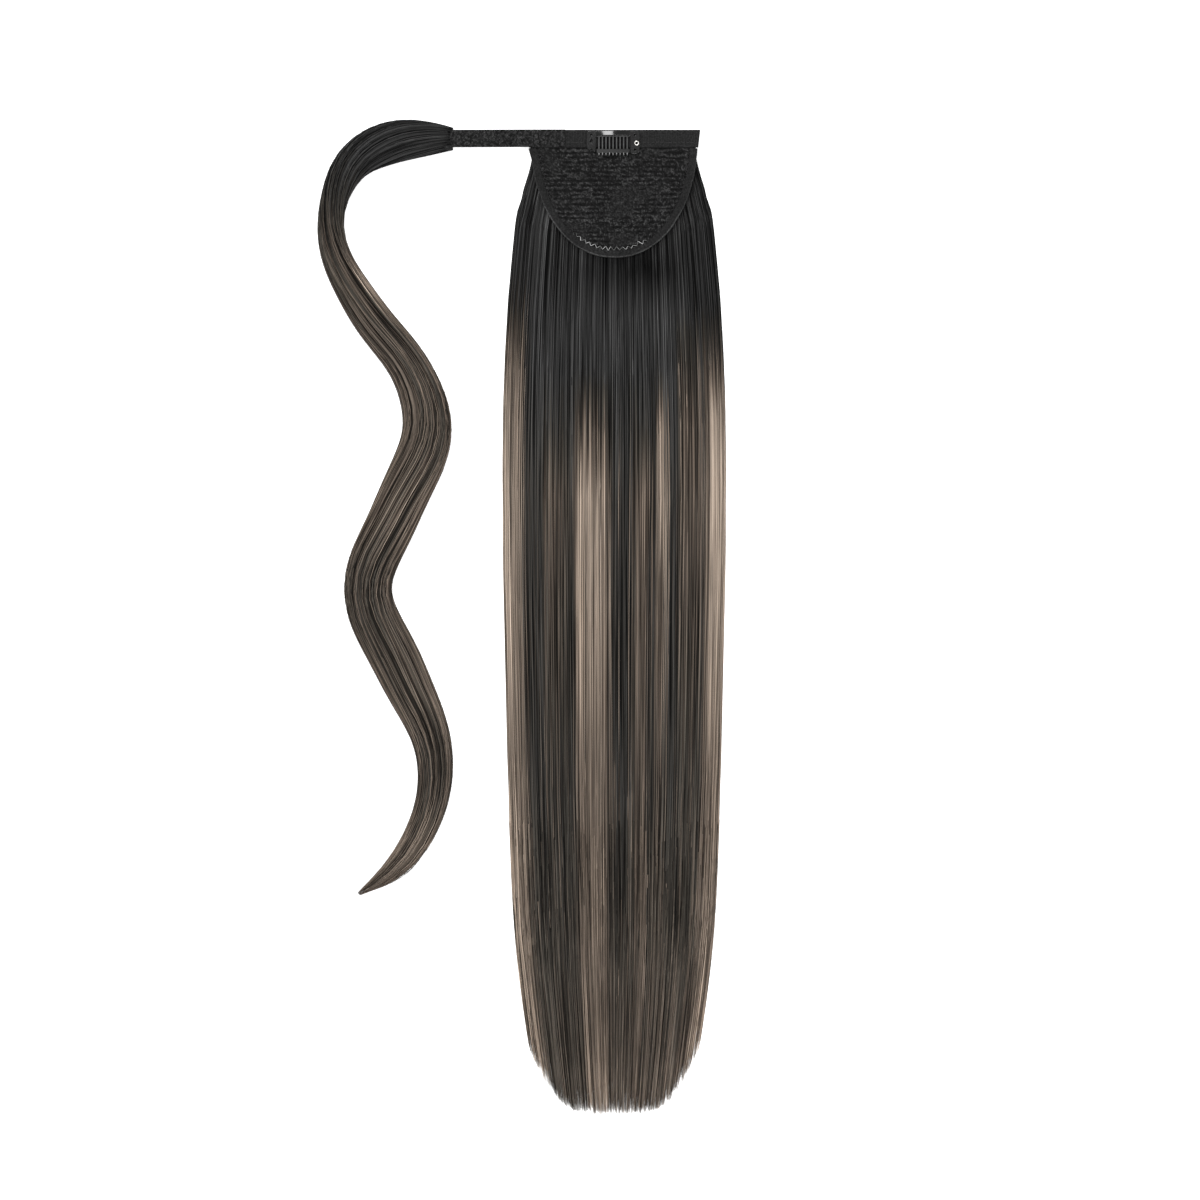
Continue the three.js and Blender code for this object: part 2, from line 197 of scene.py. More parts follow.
def curve_through(places, values, at):
    """A smooth curve through a few values, with slopes taken from the neighbouring ones."""
    slopes = np.gradient(values, places)
    row = np.clip(np.searchsorted(places, at) - 1, 0, len(places) - 2)
    span = places[row + 1] - places[row]
    t = np.clip((at - places[row]) / span, 0, 1)
    from_left = (1 + 2 * t) * (1 - t) ** 2 * values[row] + t * (1 - t) ** 2 * span * slopes[row]
    from_right = t * t * (3 - 2 * t) * values[row + 1] + t * t * (t - 1) * span * slopes[row + 1]
    return from_left + from_right


def looked_up(rows, name, at):
    """A named column of a table, as a smooth curve over its first column."""
    places = next(iter(rows.values()))
    return curve_through(places, rows[name], at)


def smooth_step(low, high, at):
    t = np.clip((np.asarray(at, float) - low) / (high - low), 0, 1)
    return t * t * (3 - 2 * t)


def fade_out(low, high, at):
    return 1 - smooth_step(low, high, at)


def unit(vectors):
    return vectors / np.linalg.norm(vectors, axis=-1, keepdims=True)


def running_length(x, y):
    """Distances along a line through points, from its first one."""
    return np.concatenate([[0], np.cumsum(np.hypot(np.diff(x), np.diff(y)))])


def grid_shares(rows, columns):
    """Shares from 0 to 1 down the rows and across the columns of a grid."""
    return np.linspace(0, 1, rows)[:, None], np.linspace(0, 1, columns)[None]


NOISE_CELLS = 64


def soft_noise(seed, u, v):
    """Smooth random values from -1 to 1 over a plane, with u and v counted in cells."""
    lattice = np.random.default_rng(seed).uniform(-1, 1, (NOISE_CELLS, NOISE_CELLS))
    u, v = np.broadcast_arrays(np.asarray(u, float), v)
    row = np.floor(u).astype(int)
    col = np.floor(v).astype(int)
    s = smooth_step(0, 1, u - row)
    t = smooth_step(0, 1, v - col)
    here, there = row % NOISE_CELLS, (row + 1) % NOISE_CELLS
    near, far = col % NOISE_CELLS, (col + 1) % NOISE_CELLS
    first = lattice[here, near] * (1 - s) + lattice[there, near] * s
    second = lattice[here, far] * (1 - s) + lattice[there, far] * s
    return first * (1 - t) + second * t


def in_frame(x, down, z):
    """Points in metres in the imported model's frame, from millimetres on the hair."""
    x, down, z = np.broadcast_arrays(x, down, z)
    return np.stack([axis_x + x * MM, band_top_y - down * MM, z * MM], axis=-1)


def linear(red, green, blue):
    """A colour given as it shows on screen, from 0 to 255, as the shader takes it."""
    shown = np.array([red, green, blue]) / 255
    light = np.where(shown <= 0.04045, shown / 12.92, ((shown + 0.055) / 1.055) ** 2.4)
    return (*(float(part) for part in light), 1.0)


# Meshes


def mesh_piece(name, points, triangles, material, body, values=()):
    """One piece of the visual model; values are named numbers for its points, in the points' grid."""
    grid = points.shape[:-1]
    points = np.asarray(points, np.float32).reshape(-1, 3)
    triangles = np.asarray(triangles, np.int32).reshape(-1, 3)
    mesh = bpy.data.meshes.new(name)
    mesh.vertices.add(len(points))
    mesh.vertices.foreach_set("co", points.ravel())
    mesh.loops.add(triangles.size)
    mesh.loops.foreach_set("vertex_index", triangles.ravel())
    mesh.polygons.add(len(triangles))
    mesh.polygons.foreach_set("loop_start", np.arange(0, triangles.size, 3, dtype=np.int32))
    mesh.update(calc_edges=True)
    mesh.validate()
    mesh.shade_smooth()
    mesh.materials.append(material)
    for value_name, value in dict(values).items():
        attribute = mesh.attributes.new(value_name, "FLOAT", "POINT")
        attribute.data.foreach_set("value", np.broadcast_to(value, grid).astype(np.float32).ravel())
    piece = bpy.data.objects.new(name, mesh)
    bpy.context.scene.collection.objects.link(piece)
    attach(piece, body)
    return piece


def ring_triangles(rings, sides, closed=False):
    """Two triangles for each cell between rings of points; closed joins the last ring to the first."""
    row, col = np.meshgrid(np.arange(rings if closed else rings - 1), np.arange(sides), indexing="ij")
    next_row = (row + 1) % rings
    next_col = (col + 1) % sides
    a = row * sides + col
    b = row * sides + next_col
    c = next_row * sides + next_col
    d = next_row * sides + col
    return np.stack([a, d, c, a, c, b], axis=-1).reshape(-1, 3)


def fan_cap(sides):
    """Triangles that close a ring, all from its first point."""
    place = np.arange(1, sides - 1)
    return np.stack([np.zeros_like(place), place, place + 1], axis=-1)


def strip_cap(sides):
    """Triangles that close a ring whose second half runs back beside its first."""
    place = np.arange(sides // 2 - 1)
    across = sides - 1 - place
    near = np.stack([place, place + 1, across - 1], axis=-1)
    far = np.stack([place, across - 1, across], axis=-1)
    return np.concatenate([near, far])


def loft_triangles(rings, sides, cap=fan_cap):
    """Triangles of a closed skin over rings of points, with a cap over each end."""
    body = ring_triangles(rings, sides)
    first = cap(sides)
    last = (rings - 1) * sides + first[:, ::-1]
    return np.concatenate([body, first, last])


def outward(points, triangles):
    """The triangles of a closed skin, turned to face out."""
    corners = np.asarray(points).reshape(-1, 3)[triangles]
    volume = np.sum(corners[:, 0] * np.cross(corners[:, 1], corners[:, 2]))
    return triangles if volume > 0 else triangles[:, ::-1]


LINE_PITCH = 0.62  # fine light and dark lines of the hair, in millimetres across and along
LINE_LENGTH = 120.0
LINE_CONTRAST = 0.95
PALE_CALM = 0.6  # how much fainter the lines are on the palest hair
STRAND_SIDES = 3
MAP_COLUMNS = 256  # strands side by side on their colour map
MAP_MARGIN = 0.06
MAP_SIDE_PLACES = np.array([0.2, 0.8, 0.5])


def strand_piece(name, paths, radii, values, turns, material):
    """Strands as closed tubes: paths (strand, ring, xyz) and radii (strand, ring) in metres."""
    strands, rings = radii.shape
    along = unit(np.gradient(paths, axis=1))
    side = unit(np.cross(along, UP))
    over = np.cross(side, along)
    angles = turns.reshape(-1, 1) + np.arange(STRAND_SIDES) * FULL_TURN / STRAND_SIDES
    cosines = np.cos(angles)[:, None]
    around = side[:, :, None] * cosines[..., None] + over[:, :, None] * np.sin(angles)[:, None, :, None]
    points = paths[:, :, None] + around * radii[:, :, None, None]
    first_points = np.arange(strands) * rings * STRAND_SIDES
    triangles = first_points[:, None, None] + loft_triangles(rings, STRAND_SIDES)
    values = {value_name: value[..., None] for value_name, value in values.items()}
    if "lane" in values:
        values["lane"] = values["lane"] - cosines * radii[:, :, None] / (LINE_PITCH * MM)
    piece = mesh_piece(name, points, triangles, material, "hairpiece", values)
    lay_strand_map(piece, strands, rings, triangles.reshape(-1, 3))
    return piece


def lay_strand_map(piece, strands, rings, triangles):
    """A colour map with one narrow upright cell for each strand."""
    map_rows = math.ceil(strands / MAP_COLUMNS)
    strand = np.arange(strands)
    u = (strand % MAP_COLUMNS)[:, None] + MAP_SIDE_PLACES[None]
    climb = MAP_MARGIN + (1 - 2 * MAP_MARGIN) * np.linspace(0, 1, rings)
    v = (strand // MAP_COLUMNS)[:, None] + climb[None]
    shape = (strands, rings, STRAND_SIDES)
    u = np.broadcast_to(u[:, None, :] / MAP_COLUMNS, shape).ravel()
    v = np.broadcast_to(v[:, :, None] / map_rows, shape).ravel()
    layer = piece.data.uv_layers.new(name="OFBake")
    corners = np.stack([u, v], axis=-1)[triangles.ravel()]
    layer.data.foreach_set("uv", corners.astype(np.float32).ravel())


# Shader nodes


def wire(made, inputs):
    """Sets a node's sockets, each to a constant or to another node's socket."""
    for socket, value in dict(inputs).items():
        if isinstance(value, bpy.types.NodeSocket):
            made.id_data.links.new(value, made.inputs[socket])
        else:
            made.inputs[socket].default_value = value


def node(tree, kind, inputs=(), **settings):
    """A shader node; settings are its own properties."""
    made = tree.nodes.new("ShaderNode" + kind)
    for name, value in settings.items():
        setattr(made, name, value)
    wire(made, inputs)
    return made


def ramp(tree, factor, stops):
    made = node(tree, "ValToRGB", {"Fac": factor})
    elements = made.color_ramp.elements
    elements[0].position, elements[0].color = stops[0]
    elements[1].position, elements[1].color = stops[-1]
    for place, colour in stops[1:-1]:
        elements.new(place).color = colour
    return made.outputs["Color"]


def new_material(name):
    material = bpy.data.materials.new(name)
    material.use_nodes = True
    tree = material.node_tree
    return material, tree, tree.nodes["Principled BSDF"]


def point_value(tree, name):
    return node(tree, "Attribute", attribute_name=name).outputs["Fac"]


def noise(tree, place, scale, detail, **settings):
    inputs = {"Vector": place, "Scale": scale, "Detail": detail}
    return node(tree, "TexNoise", inputs, **settings).outputs["Fac"]


def ranged(tree, value, seen, shown):
    """A value carried from the range it is seen in to the range it shows in."""
    ends = {"From Min": seen[0], "From Max": seen[1], "To Min": shown[0], "To Max": shown[1]}
    return node(tree, "MapRange", {"Value": value, **ends}).outputs["Result"]


def give_or_take(middle, reach):
    return middle - reach, middle + reach


def product(tree, first, second):
    return node(tree, "Math", {0: first, 1: second}, operation="MULTIPLY").outputs["Value"]


def scaled(tree, colour, strength):
    return node(tree, "VectorMath", {0: colour, "Scale": strength}, operation="SCALE").outputs["Vector"]


LINES_SEEN = (0.38, 0.62)  # range of the noise that shows as lines
HAIR_STRENGTHS = (0.3, 1.8)  # from dark hair to light, and how rough it is at each
HAIR_ROUGHNESS = (0.62, 0.3)
HAIR_SPECULAR = 0.06
HAIR_COLOURS = [
    (0.0, linear(42, 42, 42)),
    (0.06, linear(42, 40, 37)),
    (0.2, linear(56, 52, 47)),
    (0.45, linear(85, 75, 67)),
    (0.7, linear(117, 105, 94)),
    (1.0, linear(156, 142, 129)),
]


def hair_material():
    """Dyed hair: light runs from the black root to pale ash, shade tells the strands apart, and both also
    carry painted shade and painted highlights; fine lines follow the lanes that neighbouring strands
    share.
    """
    material, tree, shader = new_material("dyed_hair")
    light = point_value(tree, "light")
    across = {"X": point_value(tree, "lane"), "Y": point_value(tree, "along")}
    place = node(tree, "CombineXYZ", across).outputs["Vector"]
    lines = noise(tree, place, 1.0, 2.0, noise_dimensions="2D")
    lined = ranged(tree, lines, LINES_SEEN, give_or_take(1, LINE_CONTRAST))
    calm = product(tree, light, PALE_CALM)
    calmed = node(tree, "Mix", {"Factor": calm, "A": lined, "B": 1.0}).outputs["Result"]
    strength = product(tree, point_value(tree, "shade"), calmed)
    tinted = scaled(tree, ramp(tree, light, HAIR_COLOURS), strength)
    rough = ranged(tree, strength, HAIR_STRENGTHS, HAIR_ROUGHNESS)
    wire(shader, {"Base Color": tinted, "Roughness": rough, "Specular IOR Level": HAIR_SPECULAR})
    return material


def hair_values(light, shade, across, along):
    """What the hair's material reads; across and along are millimetres over the hair."""
    return {"light": light, "shade": shade, "lane": across / LINE_PITCH, "along": along / LINE_LENGTH}


# Hair


def tress_profile(down):
    return (looked_up(TRESS, name, down) for name in ("half_width", "thick", "fullness"))


def dome(lane, thick, fullness):
    return thick * np.sqrt(np.clip(1 - np.abs(lane) ** fullness, 0, 1))


def rim_distance(x, down):
    """How far inside the pad's outer edge a point lies."""
    across = np.abs(x) / PAD_HALF_WIDTH
    along = np.abs(down - PAD_TOP) / (PAD_DEPTH - PAD_TOP)
    share = (across**PAD_ROUNDNESS + along**PAD_ROUNDNESS) ** (1 / PAD_ROUNDNESS)
    return (1 - share) * np.hypot(x, down - PAD_TOP)


PAD_SHADOW = 1.0  # how much darker the hair is close below the pad, from its middle to the right
PAD_SHADOW_LEFT = 0.6
PAD_SHADOW_FULL = 6.0  # distance from the pad's edge that it is darkest to
PAD_SHADOW_REACH = 28.0
PAD_SHADOW_FURTHER = 16.0  # how much further it reaches on the right and at the far left
PAD_SHADOW_DEEPENS = (-25, 20)  # places across, as are the next two
PAD_SHADOW_RIGHT = (0, 25)
PAD_SHADOW_FAR_LEFT = (-25, -40)
PAD_SHADOW_BEGINS = (50, 80)  # distances down


def pad_shadow(x, down):
    """The share of its colour that the hair keeps in the dark close below the pad."""
    depth = PAD_SHADOW_LEFT + (PAD_SHADOW - PAD_SHADOW_LEFT) * smooth_step(*PAD_SHADOW_DEEPENS, x)
    further = smooth_step(*PAD_SHADOW_RIGHT, x) + smooth_step(*PAD_SHADOW_FAR_LEFT, x)
    reach = PAD_SHADOW_REACH + PAD_SHADOW_FURTHER * further
    near = fade_out(PAD_SHADOW_FULL, reach, -rim_distance(x, down))
    return 1 - depth * near * smooth_step(*PAD_SHADOW_BEGINS, down)


def streak_light(lane, down):
    """How much of the pale dye shows at a lane of the tress, at a distance down."""
    light = LOW_LIGHT * smooth_step(*LOW_LIGHT_GROWS, down)
    light = light + (LOW_LIGHT_ENDS - LOW_LIGHT) * (1 + ENDS_TILT * lane) * smooth_step(*ENDS_GROW, down)
    for middle, half, start, full, shown, kept in zip(*STREAKS.values()):
        across = np.clip(1 - (np.abs(lane - middle) / half) ** STREAK_SHARPNESS, 0, 1)
        faded = 1 - (1 - kept) * smooth_step(*STREAKS_THIN, down)
        light = np.maximum(light, shown * across * smooth_step(start, full, down) * faded)
    return light


def alternating(rng, count):
    """Random values with a spread of one, whose neighbours tend to differ."""
    loose = rng.normal(0, 1, count)
    return (loose - 0.5 * (np.roll(loose, 1) + np.roll(loose, -1))) / math.sqrt(1.5)


CLUMPS = 120
LOCKLETS = 150
RING_SHARES = np.array([0, 0.04, 0.09, 0.13, 0.18, 0.24, 0.3, 0.37, 0.5, 0.68, 0.86, 0.98, 1.0])
END_RING_SHARES = np.array([0, 0.4, 0.75, 0.97, 1.0])
TIP_SHARE = 0.15  # a strand's tip is this much as thick as the strand
TAPER_LENGTH = 60.0
CLUMP_CUT = (1.2, 1.0)  # shape and scale of the gamma spread of how far clumps stop short
CLUMP_SINK = (1.2, 0.12)  # and of how far they lie below the dome, and locklets and strands do
LOCKLET_SINK = (1.3, 0.26)
STRAND_SINK = (1.1, 0.4)
CLUMP_PHASE_STEP = 0.25
SIDES_CALM = (0.74, 0.86)  # lanes beyond which locklets differ less, and how much less
SIDES_CALMED = 0.6
LOCKLET_SHADE = 0.17
LOCKLET_DYE = 0.92
LOCKLET_DYE_SPREAD = 0.18
LOCKLET_DYE_ENDS = (0.45, 1.2)
CLUMP_SWAYS = table("wide wave", (0.3, 0.021), (0.2, 0.043))  # millimetres aside, radians for each down
STRAND_WAVES = (0.01, 0.026)  # and the same radians for a strand's own sway
STRAND_SWAY = (1.2, 0.16)
HELD_IN_POWER = 6  # how close to the two sides the sway ends
SWAY_GROWS = (20, 140)  # distances down, as are the next two
CLUMPS_CLOSE = (230, TRESS_END)
ROOT_FADES = (90, 230)
CLUMPS_CLOSED = 0.08  # how far strands draw in to their clump's middle at the ends
TIPS_CLOSED = 0.1  # and how much further at their tips
TIPS_CLOSE_OVER = 26.0
CUT_SHORTEST = 60.0  # no strand stops further short than this by chance
EDGE_CROWD = 0.2  # share of strands that crowd towards the tress's two sides
EDGE_REACH = 0.14
EDGE_THINS = 44.0  # strands of the two sides stop up to this far short, so the lower edges are wispy
EDGE_THIN_POWER = 8
ROOT_CONTRAST = 0.6  # how much further apart the strands' shades are at the root
ROOT_SIDES_PAINTED_SHADE = 0.72  # painted shade: how much darker the root's two sides are
PALE_STRANDS = 0.11  # share of strands that carry some pale dye of their own
PALE_STRANDS_GROW = (150, 235)
PALE_STRAND_TONES = (0.2, 0.55)
DARK_STRANDS = 0.14  # share of strands that took half as much of it
SHADE_SPREAD = 0.32  # how far apart the strands' shades are, and their ends
SHADE_ENDS = (0.25, 2.2)
DYE_SPREAD = 0.22  # and the same for the dye that they took
DYE_ENDS = (0.4, 1.4)
LANE_BLUR = 0.02  # how far a strand may take its dye from the lanes beside it
DYE_RAGGED = 9.0  # how much earlier or later the dye starts on a strand
UNDER_PILED = 0.5  # strands on the underside lie this high at most
EDGE_PAINTED_LIGHT = 0.8  # painted light: how much lighter the outermost strands are, which lie low in the shade beside the others
EDGE_PAINTED_LIGHT_FROM = 0.96
TIP_PAINTED_LIGHT = 1.3  # painted light on the strands' fine tips, where the pale floor shows through them
TIP_PAINTED_LIGHT_OVER = 28.0
WIDEST_HALF = 65.0


class Locks:
    """What neighbouring strands share: clumps that close at their tips, and locklets of one tone."""

    def __init__(self, seed):
        rng = np.random.default_rng(seed)
        self.centres = np.linspace(-1, 1, CLUMPS) + rng.normal(0, 0.5 / CLUMPS, CLUMPS)
        self.clump_short = rng.gamma(*CLUMP_CUT, CLUMPS)
        self.clump_phase = np.cumsum(rng.normal(0, CLUMP_PHASE_STEP, (CLUMPS, 2)), axis=0)
        self.clump_sink = rng.gamma(*CLUMP_SINK, CLUMPS)
        self.sink = rng.gamma(*LOCKLET_SINK, LOCKLETS)
        calm = 1 - SIDES_CALMED * smooth_step(*SIDES_CALM, np.abs(np.linspace(-1, 1, LOCKLETS)))
        tone = alternating(rng, LOCKLETS) * calm
        self.shade = np.exp(LOCKLET_SHADE * tone)
        self.peak = np.clip(LOCKLET_DYE + LOCKLET_DYE_SPREAD * tone, *LOCKLET_DYE_ENDS)

    def clump_of(self, lane):
        return np.abs(lane - self.centres).argmin(axis=1)

    def locklet_of(self, lane, rng):
        place = (lane + 1) / 2 * LOCKLETS + rng.normal(0, 0.3, lane.shape)
        return np.clip(place.astype(int), 0, LOCKLETS - 1)

    def sway(self, clump, down):
        """How far strands of the clumps lie aside from their lanes."""
        aside = 0
        for wide, wave, phase in zip(*CLUMP_SWAYS.values(), self.clump_phase[clump].T):
            aside = aside + wide * np.sin(wave * down + phase[:, None])
        return aside


def spread_lanes(rng, each):
    lanes = rng.uniform(-1, 1, each)
    crowd = rng.random(each) < EDGE_CROWD
    towards = np.sign(lanes) * (1 - EDGE_REACH * rng.random(each) ** 2)
    return np.where(crowd, towards, lanes)


def tress_ends(lane):
    return TRESS_END - TRESS_EDGE_SHORTER * np.abs(lane) ** TRESS_EDGE_POWER


def tapered(left):
    """The share of its thickness that a strand keeps, by what is left of it."""
    return 1 - (1 - TIP_SHARE) * fade_out(0, TAPER_LENGTH, left)


def tress_strands(name, seed, count, locks, material, starts, radii, shares, ragged, under=False):
    """Strands from a random start within starts to ragged ends, with radii between two bounds."""
    rng = np.random.default_rng(seed)
    each = (count, 1)
    lane = spread_lanes(rng, each)
    clump = locks.clump_of(lane)
    locklet = locks.locklet_of(lane, rng)
    start = rng.uniform(*starts, each)
    shorter = np.minimum(rng.exponential(ragged, each), CUT_SHORTEST)
    shorter = shorter + EDGE_THINS * np.abs(lane) ** EDGE_THIN_POWER * rng.random(each)
    end = tress_ends(lane) - locks.clump_short[clump, None] - shorter
    down = start + (end - start) * shares
    left = end - down

    half_width, thick, fullness = tress_profile(down)
    closing = CLUMPS_CLOSED * smooth_step(*CLUMPS_CLOSE, down)
    closing = closing + TIPS_CLOSED * fade_out(0, TIPS_CLOSE_OVER, left)
    own_turn = rng.uniform(*STRAND_WAVES, each) * down + rng.uniform(0, FULL_TURN, each)
    sway = locks.sway(clump, down) + rng.gamma(*STRAND_SWAY, each) * np.sin(own_turn)
    held_in = 1 - np.abs(lane) ** HELD_IN_POWER
    lanes = lane + (locks.centres[clump, None] - lane) * closing
    radius = rng.uniform(*radii, each)
    if under:
        x = lane * (half_width - radius)
        z = radius + rng.uniform(0, UNDER_PILED, each)
    else:
        x = lanes * (half_width - radius) + sway * smooth_step(*SWAY_GROWS, down) * held_in
        sunk = locks.clump_sink[clump, None] + locks.sink[locklet] + rng.gamma(*STRAND_SINK, each)
        z = np.maximum(dome(x / half_width, thick, fullness) - radius - sunk, radius)

    light = strand_light(rng, lane, locklet, down, locks)
    shade = locks.shade[locklet] * np.exp(rng.normal(0, SHADE_SPREAD, each))
    shade = np.clip(shade, *SHADE_ENDS)
    at_root = fade_out(*ROOT_FADES, down)
    # Painted shade on the root's two sides
    sides = 1 - ROOT_SIDES_PAINTED_SHADE * at_root * np.abs(lane) ** 3
    # Painted light on the outermost strands
    rim = 1 + EDGE_PAINTED_LIGHT * smooth_step(EDGE_PAINTED_LIGHT_FROM, 1, np.abs(lane))
    # Painted light on the fine tips
    painted_tip_light = 1 + TIP_PAINTED_LIGHT * fade_out(0, TIP_PAINTED_LIGHT_OVER, left)
    shade = shade ** (1 + ROOT_CONTRAST * at_root) * sides * pad_shadow(x, down) * rim * painted_tip_light
    values = hair_values(light, shade, x / half_width * WIDEST_HALF, down)
    turns = rng.uniform(0, FULL_TURN, each)
    strand_piece(name, in_frame(x, down, z), radius * tapered(left) * MM, values, turns, material)


def strand_light(rng, lane, locklet, down, locks):
    each = lane.shape
    seen_lane = lane + rng.normal(0, LANE_BLUR, each)
    later = rng.normal(0, DYE_RAGGED, each)
    taken = locks.peak[locklet] * np.clip(rng.normal(1, DYE_SPREAD, each), *DYE_ENDS)
    taken = np.where(rng.random(each) < DARK_STRANDS, 0.5 * taken, taken)
    light = streak_light(seen_lane, down - later) * taken
    own = np.where(rng.random(each) < PALE_STRANDS, rng.uniform(*PALE_STRAND_TONES, each), 0)
    return np.maximum(light, own * smooth_step(*PALE_STRANDS_GROW, down - later))


CORE_ROWS = 36
CORE_SIDES = 40
CORE_SINK = 1.5
CORE_START = 4.0
CORE_END = 534.0
CORE_LOWEST = 0.5  # how low its upper face comes
CORE_UNDER = 0.3
# Painted shade: the cores are darker, so the gaps between the strands look shaded
CORE_PAINTED_SHADE = 0.35
CORE_THINS = (420, CORE_END)
CORE_THINNED = 0.75
CORE_NARROWS = (460, CORE_END)
CORE_NARROWED = 0.2


def tress_core(material):
    """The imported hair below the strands, a closed body a little inside them."""
    down = np.linspace(CORE_START, CORE_END, CORE_ROWS)[:, None]
    half_width, thick, fullness = tress_profile(down)
    thinned = 1 - CORE_THINNED * smooth_step(*CORE_THINS, down)
    narrowed = 1 - CORE_NARROWED * smooth_step(*CORE_NARROWS, down)
    upper = CORE_SIDES * 3 // 4
    back = np.linspace(1, -1, CORE_SIDES - upper + 2)[1:-1]
    lane = np.concatenate([np.linspace(-1, 1, upper), back])[None]
    x = lane * (half_width - CORE_SINK) * narrowed
    z = np.maximum((dome(lane, thick, fullness) - CORE_SINK) * thinned, CORE_LOWEST)
    z[:, upper:] = CORE_UNDER
    values = hair_values(streak_light(lane, down), CORE_PAINTED_SHADE, lane * WIDEST_HALF, down)
    points = in_frame(x, down, z)
    triangles = loft_triangles(CORE_ROWS, CORE_SIDES)
    piece = mesh_piece("tress_core", points, triangles, material, "hairpiece", values)
    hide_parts("ponytail_hair")


WRAP_RINGS = 50
WRAP_SHARES = np.append(0.99 * np.linspace(0, 1, WRAP_RINGS - 1) ** 1.2, 1.0)
WRAP_LOCKLETS = 130
WRAP_LOCKLET_SEED = 21
WRAP_GIRTH = 56.0
WRAP_ROOT_FADES = (22, 150)  # distances along the lock, as is the next
WRAP_MELTS = (62, 150)
WRAP_WIDENS = (0, 30)  # where the route starts to be taken wide, and from its end where it stops
WRAP_WIDENS_TO = (20, 50)
WRAP_LOCKLET_SINK = (1.2, 0.018)  # shape and scale of the gamma spread, as for the tress
WRAP_STRAND_SINK = (1.1, 0.04)
WRAP_LOCKLET_SHADE = 0.22
WRAP_LOCKLET_DYE = 0.3
WRAP_DYE_ENDS = (0.2, 1.8)
WRAP_STRAND_DYE = (0.85, 1.15)
WRAP_SIDES_PAINTED_SHADE = 0.6  # painted shade: the share of the dye that shows on the lock's sides and underneath
WRAP_DYE_RAGGED = 12.0
WRAP_SHADE_SPREAD = 0.4
WRAP_SHADE_ENDS = (0.25, 1.9)
WRAP_ROOT_CONTRAST = 0.7
WRAP_ROOT_DARK = 0.2
WRAP_TIP_LIFT = 0.8
WRAP_TIP_LIGHTENS = (90, 10)  # from the lock's end
TUCK_PAINTED_SHADE = 1.3
WRAP_STARTS = (3.2, 9)
WRAP_RAGGED = 11.0  # mean length by which strands stop short, and the most
WRAP_RAGGED_MOST = 95.0
WRAP_RADII = (0.2, 0.4)
WRAP_WAVES = (0.01, 0.03)
WRAP_WANDER = 3.0  # degrees that strands wander to and fro
WRAP_DRIFT = 4.0  # and that they turn on their way
STRAY_DRIFT = 40.0
STRAY_RADII = (0.12, 0.22)
STRAY_SHADES = (0.9, 1.4)
STRAY_TONES = (0.3, 0.75)
SEAM_POWER = 5  # how close to the seams between bundles the dent and the painted shade begin
SEAM_DENT = 0.07
SEAM_PAINTED_SHADE = 0.3
RIM_BLEND = 0.55  # a dent fades out where the section turns down to the lock's edge


class WrapRoute:
    """The free lock's middle line, looked up by the distance along it."""

    def __init__(self):
        steps = np.hypot(np.diff(WRAP["x"]), np.diff(WRAP["down"])) ** 0.5
        knots = np.concatenate([[0], np.cumsum(steps)])
        at = np.linspace(0, knots[-1], WRAP_SAMPLES)
        x, down, width, thick = (curve_through(knots, values, at) for values in WRAP.values())
        self.along = running_length(x, down)
        self.length = self.along[-1]
        x, down = self.widened(x), self.widened(down)
        heading_x = np.gradient(x, self.along)
        heading_down = np.gradient(down, self.along)
        size = np.hypot(heading_x, heading_down)
        self.columns = (x, down, width, thick, -heading_down / size, heading_x / size)

    def widened(self, places):
        """The route taken a little wide at its bends, by as much as relaxed strands cut them."""
        span = np.gradient(WRAP_SHARES) * self.length
        span = np.interp(self.along, WRAP_SHARES * self.length, span)
        before = np.interp(self.along - span, self.along, places)
        after = np.interp(self.along + span, self.along, places)
        eased = (before + 2 * places + after) / 4
        left = self.length - self.along
        taken = smooth_step(*WRAP_WIDENS, self.along) * smooth_step(*WRAP_WIDENS_TO, left)
        return places + (places - eased) * taken

    def points(self, along, turned, reach, radius, lowest):
        """Points round the lock's section, at an angle and a share of its size, a radius inside it."""
        looked = (np.interp(along, self.along, values) for values in self.columns)
        x, down, width, thick, across_x, across_down = looked
        side = np.cos(turned) * reach * (width / 2 - radius)
        z = np.maximum((0.5 + 0.5 * np.sin(turned) * reach) * thick - radius, lowest)
        return in_frame(x + across_x * side, down + across_down * side, z)


def relaxed(paths):
    """Strands that cut the corners of tight bends a little, as taut hair does."""
    eased = paths.copy()
    eased[:, 1:-1] = (paths[:, :-2] + 2 * paths[:, 1:-1] + paths[:, 2:]) / 4
    return eased


